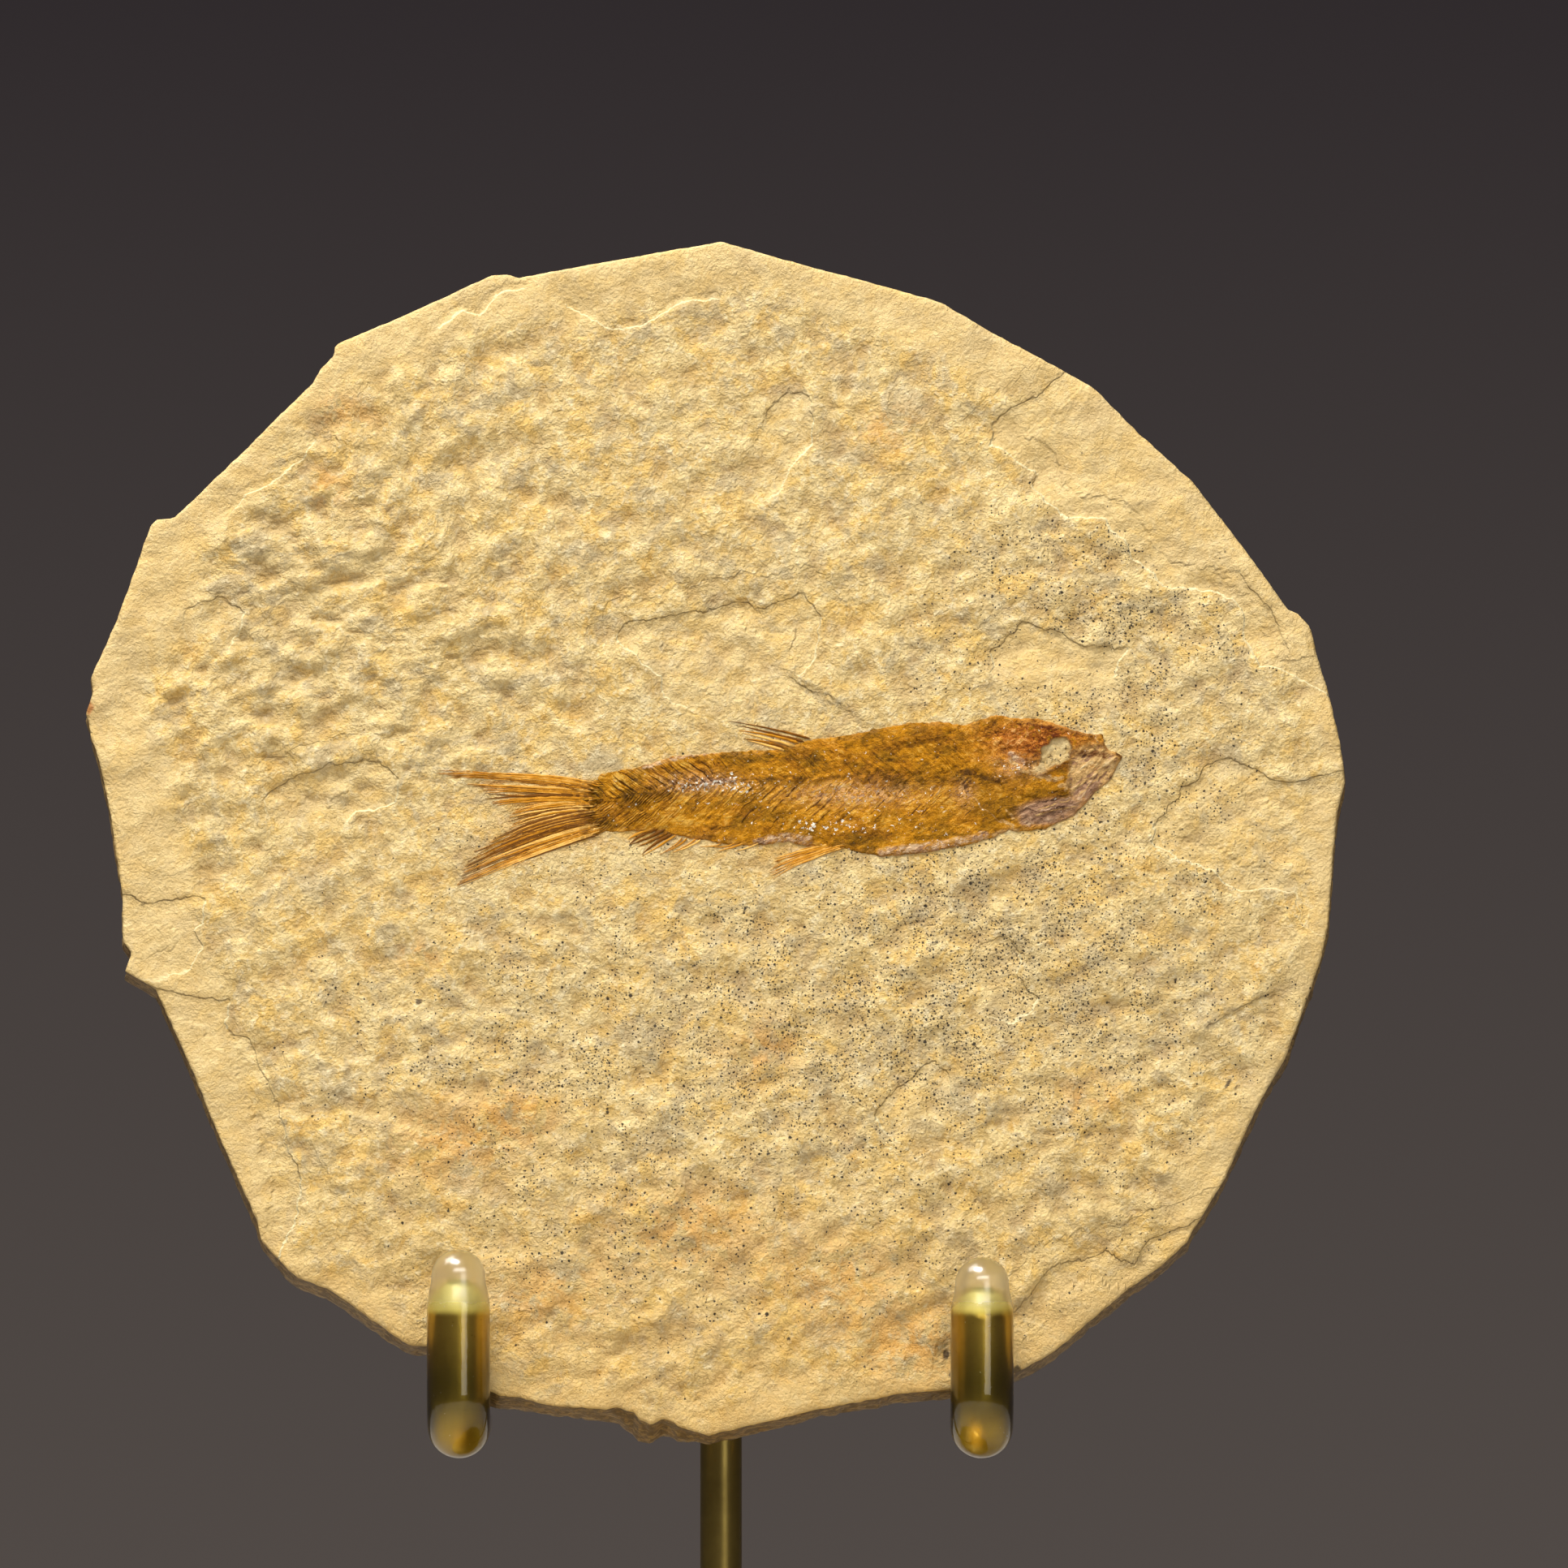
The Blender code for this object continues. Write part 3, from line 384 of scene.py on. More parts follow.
radius, turn = square_to_disc(FACE_COUNT)
radius += 0.004 * np.exp(-2 * ((1 - radius) * (FACE_COUNT - 1) / 2 - 1) ** 2)
reach = rim_radius(turn)
across = SLAB_CENTRE[0] + radius * reach * np.cos(turn)
up = SLAB_CENTRE[1] + radius * reach * np.sin(turn)
face_height, face_masks = face_relief(across, up, (1 - radius) * reach)
slab_points = [on_face(across, up, face_height).reshape(-1, 3)]
slab_masks = {mask: [values.ravel()] for mask, values in face_masks.items()}

# The rim: rings from the front edge back, bulging and chipped as nippers leave it, then the sawn-rough back.
loop = square_rim(FACE_COUNT)
loop_turn = turn.ravel()[loop]
edge_x, edge_y, edge_height = across.ravel()[loop], up.ravel()[loop], face_height.ravel()[loop]
spread = rim_slope(loop_turn, 1)
part = RIM_PARTS[:, None]
round_rim = np.broadcast_to(loop_turn * 72, (len(RIM_PARTS), len(loop)))
deep = np.broadcast_to(part * SLAB_THICKNESS, round_rim.shape)
chips = 0.8 * layered(round_rim, deep, 5.0, 4, 70) + 1.1 * abs(wander(round_rim / 2.4, deep / 2.0, 74)) - 0.35
beds = 0.16 * wander(round_rim / 9, deep / 0.9, 77)
bulge = np.sin(np.pi * np.clip(part * 0.93, 0, 1)) ** 0.6
out = spread * part ** 0.8 + (0.6 * chips + 1.5 * beds) * bulge - 0.12
out = np.minimum(out, spread * part ** 0.5 - 0.02)
rim_x = edge_x + np.cos(loop_turn) * out
rim_y = edge_y + np.sin(loop_turn) * out
slab_points.append(on_face(rim_x, rim_y, edge_height * (1 - part) - SLAB_THICKNESS * part).reshape(-1, 3))
rim_first = FACE_COUNT ** 2
rings = np.vstack([loop, numbered(len(RIM_PARTS), len(loop), rim_first)])

BACK_COUNT, BACK_INSET = (FACE_COUNT + 1) // 2, 0.7
back_first = rim_first + len(RIM_PARTS) * len(loop)
back_radius, back_turn = square_to_disc(BACK_COUNT)
last_reach = np.hypot(rim_x[-1] - SLAB_CENTRE[0], rim_y[-1] - SLAB_CENTRE[1])[::2]
back_reach = np.interp(back_turn, loop_turn[::2], last_reach, period=2 * np.pi) - BACK_INSET
back_x = SLAB_CENTRE[0] + back_radius * back_reach * np.cos(back_turn)
back_y = SLAB_CENTRE[1] + back_radius * back_reach * np.sin(back_turn)
back_relief = 0.22 * layered(back_x, back_y, 14, 4, 80, np.radians(70), 1.5)
back_height = -SLAB_THICKNESS - 0.12 + np.minimum(back_relief, 0.3)
slab_points.append(on_face(back_x, back_y, back_height).reshape(-1, 3))
coarse_loop = back_first + square_rim(BACK_COUNT)
fine, fine_next, fine_after = rings[-1][::2], rings[-1][1::2], np.roll(rings[-1][::2], -1)
coarse_after = np.roll(coarse_loop, -1)
stitches = np.concatenate([
    np.stack([fine, coarse_loop, fine_next], -1), np.stack([fine_next, coarse_loop, coarse_after], -1),
    np.stack([fine_next, coarse_after, fine_after], -1),
])
# Off the face, "rim" runs from 0 to 1 back along the rim and is 2 on the back. The other masks end at the edge.
for mask, layers in slab_masks.items():
    on_rim = {"rim": part + 0 * deep, "lip": FAR_FROM_LIP + 0 * deep, "border": layers[0][loop] + 0 * deep}
    layers.append(on_rim.get(mask, 0 * deep).ravel())
    layers.append(np.full(BACK_COUNT ** 2, {"rim": 2.0, "lip": FAR_FROM_LIP}.get(mask, 0.0)))
slab = add_piece(
    "split_limestone", np.vstack(slab_points),
    [grid_faces(numbered(FACE_COUNT, FACE_COUNT)), ring_faces(rings), stitches,
     grid_faces(numbered(BACK_COUNT, BACK_COUNT, back_first))[:, ::-1]],
    "limestone", ["limestone_slab"], {mask: np.concatenate(layers) for mask, layers in slab_masks.items()},
)


def paint(colour):
    """Colour from screen values of 0 to 255 to the linear values that a shader takes."""
    screen = np.array(colour) / 255
    linear = np.where(screen <= 0.04045, screen / 12.92, ((screen + 0.055) / 1.055) ** 2.4)
    return (*linear.tolist(), 1.0)


class Value:
    """One output of a node. Written into a sum, it adds the Math node of each sign."""

    def __init__(self, nodes, socket):
        self.nodes, self.socket = nodes, socket

    def maths(self, operation, *terms):
        return self.nodes.node("Math", {"operation": operation}, dict(enumerate(terms)))

    def __add__(self, other):
        return self.maths("ADD", self, other)

    def __sub__(self, other):
        return self.maths("SUBTRACT", self, other)

    def __rsub__(self, other):
        return self.maths("SUBTRACT", other, self)

    def __mul__(self, other):
        return self.maths("MULTIPLY", self, other)

    def __truediv__(self, other):
        return self.maths("DIVIDE", self, other)

    __radd__, __rmul__ = __add__, __mul__

    def size(self):
        return self.maths("ABSOLUTE", self)

    def most(self, other):
        return self.maths("MAXIMUM", self, other)

    def least(self, other):
        return self.maths("MINIMUM", self, other)

    def rise(self, low, high):
        """0 below `low`, 1 above `high`, smooth between them."""
        ends = {"Value": self, "From Min": low, "From Max": high}
        return self.nodes.node("MapRange", {"interpolation_type": "SMOOTHSTEP"}, ends)


class Nodes:
    """A node tree under way."""

    def __init__(self, tree):
        self.tree = tree
        tree.nodes.clear()

    def node(self, kind, settings=None, sockets=None, output=0):
        """Adds a node, with its settings, then the values or links of its sockets. Gives one of its outputs."""
        made = self.tree.nodes.new("ShaderNode" + kind)
        for setting, value in (settings or {}).items():
            if setting == "stops":
                while len(made.color_ramp.elements) < len(value):
                    made.color_ramp.elements.new(0.5)
                for element, (position, colour) in zip(made.color_ramp.elements, value):
                    element.position, element.color = position, paint(colour)
            else:
                setattr(made, setting, value)
        for name, value in (sockets or {}).items():
            if isinstance(value, Value):
                self.tree.links.new(value.socket, made.inputs[name])
            else:
                made.inputs[name].default_value = value
        return Value(self, made.outputs[output]) if made.outputs else None

    def vector(self, *parts):
        return self.node("CombineXYZ", sockets=dict(enumerate(parts)))

    def part(self, vector, axis):
        return self.node("SeparateXYZ", sockets={0: vector}, output=axis)


class Finish(Nodes):
    """A material under way, with one Principled shader."""

    def __init__(self, name, **constants):
        self.material = bpy.data.materials.new(name)
        self.material.use_nodes = True
        super().__init__(self.material.node_tree)
        self.shader = self.tree.nodes.new("ShaderNodeBsdfPrincipled")
        self.node("OutputMaterial", {}, {"Surface": Value(self, self.shader.outputs[0])})
        for socket, value in constants.items():
            self.shader.inputs[socket.replace("_", " ")].default_value = value
        place = self.node("TexCoord", output="Object")
        self.place = self.node("VectorMath", {"operation": "SCALE"}, {0: place, "Scale": 1 / MM})

    def mask(self, name):
        return self.node("Attribute", {"attribute_name": name}, output="Fac")

    def noise(self, where, size, detail=3.0, rough=0.55, warp=0.0):
        """Cloudy noise from 0 to 1, its lumps about `size` across."""
        return self.node("TexNoise", {}, {
            "Vector": where, "Scale": 1 / size, "Detail": detail, "Roughness": rough, "Distortion": warp})

    def cloud(self, degrees, along, shift, size, detail=3.0, rough=0.55, warp=0.0):
        """Noise of the place turned about the axis into the face, then scaled along the turned direction."""
        facing = self.node("Mapping", sockets={"Vector": self.place, "Rotation": (0, np.radians(degrees), 0)})
        where = self.node("Mapping", sockets={"Vector": facing, "Scale": (along, 1, 1), "Location": shift})
        return self.noise(where, size, detail, rough, warp)

    def ray_noise(self, apart):
        """Noise drawn out along the tail's rays."""
        return self.noise(self.vector(self.mask("ray_turn") / apart, self.mask("ray_reach") / 5.0), 1.0, 3, 0.6)

    def mix(self, amount, first, second):
        """Colour between two colours, each a node's output or screen values."""
        first, second = (paint(colour) if isinstance(colour, tuple) else colour for colour in (first, second))
        return self.node("Mix", {"data_type": "RGBA"}, {0: amount, 6: first, 7: second}, 2)

    def coats(self, colour, *coats):
        """A colour with others laid over it in turn, each by its own amount."""
        for amount, coat in coats:
            colour = self.mix(amount, colour, coat)
        return colour

    def finish(self, colour=None, rough=None, height=None, bump=0.5, **others):
        """Links what varies to the shader: colour, roughness, and height in millimetres through a bump."""
        if height is not None:
            others["Normal"] = self.node("Bump", {}, {"Height": height, "Distance": MM, "Strength": bump})
        for socket, value in {"Base Color": colour, "Roughness": rough, **others}.items():
            if value is not None:
                self.tree.links.new(value.socket, self.shader.inputs[socket])
        return self.material


CREAM, STRAW, OCHRE = (244, 218, 156), (216, 184, 116), (210, 162, 74)
PALE_CREAM, ASH, RUST, YELLOW = (252, 236, 192), (186, 168, 132), (218, 160, 72), (240, 198, 108)
SPECK_BLACK, BORDER_BUFF, RIM_BROWN = (34, 26, 18), (222, 192, 132), (164, 124, 70)

stone = Finish("split_limestone_face", Roughness=0.6, Specular_IOR_Level=0.4)
mottle = stone.cloud(GRAIN_SLANT, 0.95, (0, 0, 0), 2.2, 5, 0.68, 0.5)
fine_mottle = stone.cloud(GRAIN_SLANT, 0.9, (9, 3, 5), 0.9, 4, 0.65)
ash_cloud = stone.cloud(20, 0.92, (31, 2, 17), 4.0, 5, 0.66, 0.6)
gold_cloud = stone.cloud(20, 0.92, (70, 1, 3), 3.4, 5, 0.66, 0.6)
clouds = stone.cloud(10, 0.8, (40, 7, 20), 15, 2)
grit = stone.noise(stone.place, 0.34, 3, 0.6).rise(0.40, 0.60)
fine_grit = stone.cloud(0, 1, (3, 8, 1), 0.19, 2, 0.5).rise(0.40, 0.62)
chips = stone.cloud(GRAIN_SLANT, 1, (6, 13, 25), 1.9, 4, 0.62) * 8
ledges = (chips.maths("FLOOR", chips) + chips.maths("FRACT", chips).rise(0.3, 0.95)) / 9
grains = stone.node("TexVoronoi", {"feature": "F1"}, {
    "Vector": stone.place, "Scale": 1 / 0.5, "Randomness": 1.0}, "Distance")
border, rim, specks, tail = (stone.mask(name) for name in ("border", "rim", "specks", "tail"))
face = 1 - rim.rise(0.0, 0.06)
calm_patch = border.most(stone.mask("smooth_scar") * 0.9)
busy = 1 - calm_patch * 0.5
between_rays = stone.ray_noise(0.15)
colour = stone.coats(
    STRAW,
    (mottle.rise(0.36, 0.62), CREAM),
    (gold_cloud.rise(0.48, 0.62) * (0.35 + busy * 0.4), YELLOW),
    ((gold_cloud * 0.5 + mottle * 0.5).rise(0.56, 0.66) * busy * 0.75, OCHRE),
    (ash_cloud.rise(0.50, 0.64) * (0.2 + busy * 0.45), ASH),
    (fine_mottle.rise(0.50, 0.72) * busy * 0.7, PALE_CREAM),
    ((1 - fine_mottle.rise(0.30, 0.48)) * busy * 0.45, (178, 146, 92)),
    # Painted shade: the low hollows and pits of the relief are darker.
    (stone.mask("hollow").rise(0.5, 1.0) * busy * 0.5, (182, 144, 86)),
    (clouds.rise(0.50, 0.72) * 0.15, ASH),
    (calm_patch * 0.5, BORDER_BUFF),
    (stone.mask("low") * mottle.rise(0.35, 0.6) * 0.5, (214, 168, 84)),
    (stone.mask("ochre") * mottle.rise(0.42, 0.56) * 0.75, RUST),
    (stone.mask("halo") * fine_mottle.rise(0.35, 0.6) * 0.6, (204, 150, 70)),
    (stone.mask("rusty").rise(0.3, 0.7) * 0.8, (178, 108, 46)),
    (tail * between_rays.rise(0.44, 0.52) * 0.85, (196, 138, 44)),
    (tail * between_rays.rise(0.54, 0.60) * 0.8, (142, 92, 26)),
)

# Flake lips: a painted highlight runs along those that face up, and a painted shadow along those that face
# down. Black specks of manganese sit in drifts.
lip = stone.mask("lip") + (stone.noise(stone.place, 0.6, 3) - 0.5) * 0.35
lip_depth = stone.mask("lip_strength").rise(0.15, 0.9) * face
faces_up = stone.mask("lip_faces_up")
painted_lip_highlight = (1 - lip.size().rise(0.03, 0.16)) * lip_depth * faces_up.rise(-0.5, 0.2)
painted_lip_shadow = (1 - (lip - 0.04).size().rise(0.02, 0.12)) * lip_depth * (1 - faces_up.rise(-0.8, -0.2))
flat, upright = stone.part(stone.place, 0), stone.part(stone.place, 2)
shaken = stone.vector(
    flat + (stone.noise(stone.place, 0.22, 2) - 0.5) * 0.3,
    upright + (stone.cloud(0, 1, (5, 5, 5), 0.22, 2) - 0.5) * 0.3,
)


def speckle(spacing, share, dot):
    """Dots: in a share of the cells of a random net, one spot at the cell's point."""
    settings = {"voronoi_dimensions": "2D", "feature": "F1"}
    sockets = {"Vector": shaken, "Scale": 1 / spacing, "Randomness": 1.0}
    away = stone.node("TexVoronoi", settings, sockets, "Distance") * spacing
    cell = stone.node("TexVoronoi", settings, sockets, "Color")
    chosen = (specks * share - stone.part(cell, 0)).rise(0.0, 0.03)
    return (1 - (away / (stone.part(cell, 1) * dot + dot * 0.5)).rise(0.6, 1.1)) * chosen


spots = speckle(0.42, 0.55, 0.08).most(speckle(0.9, 0.5, 0.12)).most(speckle(2.7, 0.16, 0.18)) * face
drift = specks.rise(0.25, 1.0) * stone.noise(stone.place, 1.8, 4).rise(0.48, 0.66)
colour = stone.coats(
    colour,
    (painted_lip_highlight * 0.9, (255, 240, 190)),
    (painted_lip_shadow * stone.noise(stone.place, 1.3, 3).rise(0.3, 0.55) * 0.55, (108, 86, 50)),
    (drift * 0.4 * face, ASH),
    (spots * 0.95, SPECK_BLACK),
    (stone.mask("marks").rise(0.3, 0.6) * 0.85, (66, 50, 38)),
)

# The broken rim: fine bedding lines run round it, browner where it is weathered. Painted shade darkens
# the faces that turn downwards.
level = stone.node("Mapping", sockets={"Vector": stone.place, "Rotation": (-LEAN, 0, 0)})
bedding = stone.noise(stone.node("Mapping", sockets={"Vector": level, "Scale": (0.12, 2.2, 0.12)}), 1.0, 3, 0.6)
on_rim = rim.rise(0.0, 0.06) * (1 - rim.rise(1.0, 1.3))
painted_underside_shade = (0 - stone.part(stone.node("NewGeometry", output="True Normal"), 2)).rise(-0.2, 0.5)
rim_colour = stone.coats(
    RIM_BROWN,
    (bedding.rise(0.3, 0.7) * 0.85, STRAW),
    (mottle.rise(0.55, 0.75) * 0.5, (146, 106, 58)),
    (painted_underside_shade * (0.55 + fine_mottle.rise(0.4, 0.55) * 0.4), (84, 60, 28)),
)
relief = (fine_mottle - 0.5) * busy * 0.42 + (grit * 0.6 + fine_grit * 0.4) * (0.03 + busy * 0.055)
relief = relief + (mottle - 0.5) * busy * 0.45
relief = relief + ledges * (0.25 + busy * 0.75) * 0.6 - grains * (0.02 + busy * 0.12)
relief = relief - lip.rise(-0.10, 0.10) * lip_depth * 0.2 - spots * 0.05
relief = relief + (bedding - 0.5) * on_rim * 0.5
slab.data.materials.append(stone.finish(stone.mix(on_rim * 0.95, colour, rim_colour), None, relief, 0.9))

# Fossil fish: a small herring-like fish pressed flat in the bedding, its head to the right. Bone and skin are
# replaced by golden-brown mineral that stands a little proud of the stone. The fins are single rays over bare
# stone.
FISH_TOP = np.array([
    (-17.6, 70.6), (-17.3, 71.7), (-16.6, 72.3), (-15.6, 72.5), (-14.3, 73.7), (-10.1, 74.4), (-5.9, 75.7),
    (-0.7, 76.2), (3.9, 76.5), (6.2, 76.5), (10.9, 77.8), (15.1, 78.3), (19.4, 79.2), (22.9, 79.8), (26.1, 79.9),
    (29.0, 79.5), (31.1, 80.2), (33.0, 80.7), (35.5, 80.3), (37.6, 80.3), (39.7, 79.8), (41.8, 79.0),
    (43.7, 78.5), (45.6, 78.4), (45.8, 77.3), (46.3, 76.5), (47.3, 76.2), (47.9, 75.8),
])
FISH_BELLY = np.array([
    (-17.6, 70.0), (-17.1, 67.6), (-15.4, 66.4), (-14.3, 66.7), (-10.8, 66.9), (-7.0, 66.8), (-3.4, 66.0),
    (-1.7, 65.8), (0.4, 65.3), (4.5, 65.2), (7.9, 65.6), (9.8, 65.2), (15.1, 64.7), (19.4, 63.8), (25.0, 64.4),
    (29.2, 65.2), (32.8, 66.2), (34.4, 67.0), (35.5, 66.8), (38.7, 67.1), (42.2, 68.8), (43.9, 70.7),
    (46.6, 73.2), (47.5, 75.0), (47.9, 75.7),
])
FISH_SPINE = np.array([
    (-18, 70.3), (-12.0, 71.0), (-9.0, 71.6), (-3.0, 72.4), (3.0, 72.9), (9.0, 73.2), (18.0, 73.4), (28.5, 74.0),
    (34, 73.1), (50, 73.0),
])
SPINE_WIDTHS = ([-18, -10, -6, 2, 6, 14, 18, 28, 34], [0.35, 0.4, 0.95, 0.95, 0.5, 0.5, 1.0, 1.2, 0.9])
TAIL_END, NOSE = -17.6, 47.9
BODY_STATIONS, BODY_ACROSS = 760, 122
FISH_DEPTH = 0.55
FAR_FROM_RIM = 60.0
# Strokes of the head and belly: what they are, how wide and how high, and where they run.
STROKES = {
    "pale": [
        (0.4, 0.05, [(37.8, 73.4), (39.2, 73.3)]), (0.32, 0.06, [(39.0, 73.0), (40.7, 73.2)]),
        (0.22, 0.1, [(41.2, 75.5), (42.0, 76.3), (43.3, 76.9)]),
        (0.2, 0.08, [(41.4, 73.6), (41.6, 72.5), (41.0, 71.7)]),
        (0.2, 0.12, [(41.8, 71.7), (44.3, 73.4), (46.0, 74.8), (47.1, 75.5)]),
        (0.16, 0.08, [(42.9, 71.3), (44.8, 73.0), (45.8, 74.0)]),
        (0.12, 0.08, [(38.0, 69.4), (39.7, 70.0), (41.8, 70.6)]),
        (0.12, 0.08, [(37.6, 68.7), (40.4, 69.4), (42.2, 69.8)]),
        (0.24, 0.05, [(33.4, 68.1), (34.9, 67.5), (34.7, 66.9)]), (0.2, 0.05, [(34.1, 69.4), (34.9, 68.3)]),
        (0.4, 0.04, [(32.6, 66.4), (34.3, 66.9), (35.4, 66.8)]),
        (0.07, 0.05, [(29.9, 71.2), (31.2, 69.5), (33.4, 67.9)]),
        (0.3, 0.04, [(36.8, 73.9), (37.8, 74.5), (38.6, 74.9)]), (0.15, 0.1, [(44.8, 78.4), (45.0, 77.4)]),
        (0.3, 0.06, [(34.6, 75.4), (35.4, 74.8)]), (0.3, 0.05, [(35.4, 74.2), (36.6, 73.9)]),
        (0.35, 0.05, [(40.6, 72.2), (42.6, 73.0)]), (0.13, 0.06, [(25.4, 72.3), (25.1, 71.7)]),
        (0.15, 0.06, [(26.3, 72.4), (25.8, 71.3)]),
    ],
    "dark": [
        (0.24, 0.12, [(41.9, 76.5), (41.0, 75.3), (39.9, 74.2), (37.6, 73.4)]),
        (0.5, 0.1, [(43.1, 76.1), (46.0, 75.9)]),
        (0.28, 0.14, [(43.7, 78.3), (41.8, 78.8), (38.7, 79.3), (36.6, 79.7)]),
        (0.28, 0.06, [(28.6, 73.9), (30.4, 73.7)]), (0.3, 0.06, [(31.0, 73.3), (33.2, 72.9)]),
        (0.2, 0.1, [(47.2, 76.1), (47.8, 75.6)]), (0.25, 0.05, [(38.4, 76.8), (38.9, 77.9), (40.3, 78.3)]),
        (0.14, 0.02, [(36.9, 74.9), (38.1, 75.2)]), (0.12, 0.1, [(36.4, 69.5), (38.4, 69.0), (41.0, 69.8)]),
        (0.12, 0.08, [(37.5, 70.4), (39.6, 70.6), (41.5, 71.3)]), (0.12, 0.08, [(19.5, 63.9), (21.5, 64.6)]),
        (0.12, 0.08, [(22.6, 64.1), (25.0, 64.9)]), (0.12, 0.08, [(26.0, 64.6), (28.6, 65.4)]),
    ],
    "mauve": [
        (1.1, 0.05, [(36.5, 68.3), (39.5, 69.0), (41.5, 70.0)]), (0.5, 0.08, [(43.3, 74.8), (44.8, 75.2)]),
        (0.62, 0.1, [(19.2, 64.2), (22.9, 64.7), (27.1, 65.3), (31.4, 66.3)]),
        (0.6, 0.08, [(4.4, 65.5), (7.5, 66.0), (10.4, 65.7)]),
        (0.3, 0.08, [(-9.1, 74.4), (-4.2, 75.9), (-0.5, 76.3)]), (0.5, 0.04, [(43.5, 72.2), (45.2, 73.4)]),
        (0.4, 0.05, [(34.5, 76.0), (36.0, 75.2)]), (0.35, 0.04, [(-2.0, 72.6), (1.5, 72.9)]),
    ],
}


def along_line(x, line):
    return np.interp(x, line[:, 0], line[:, 1])


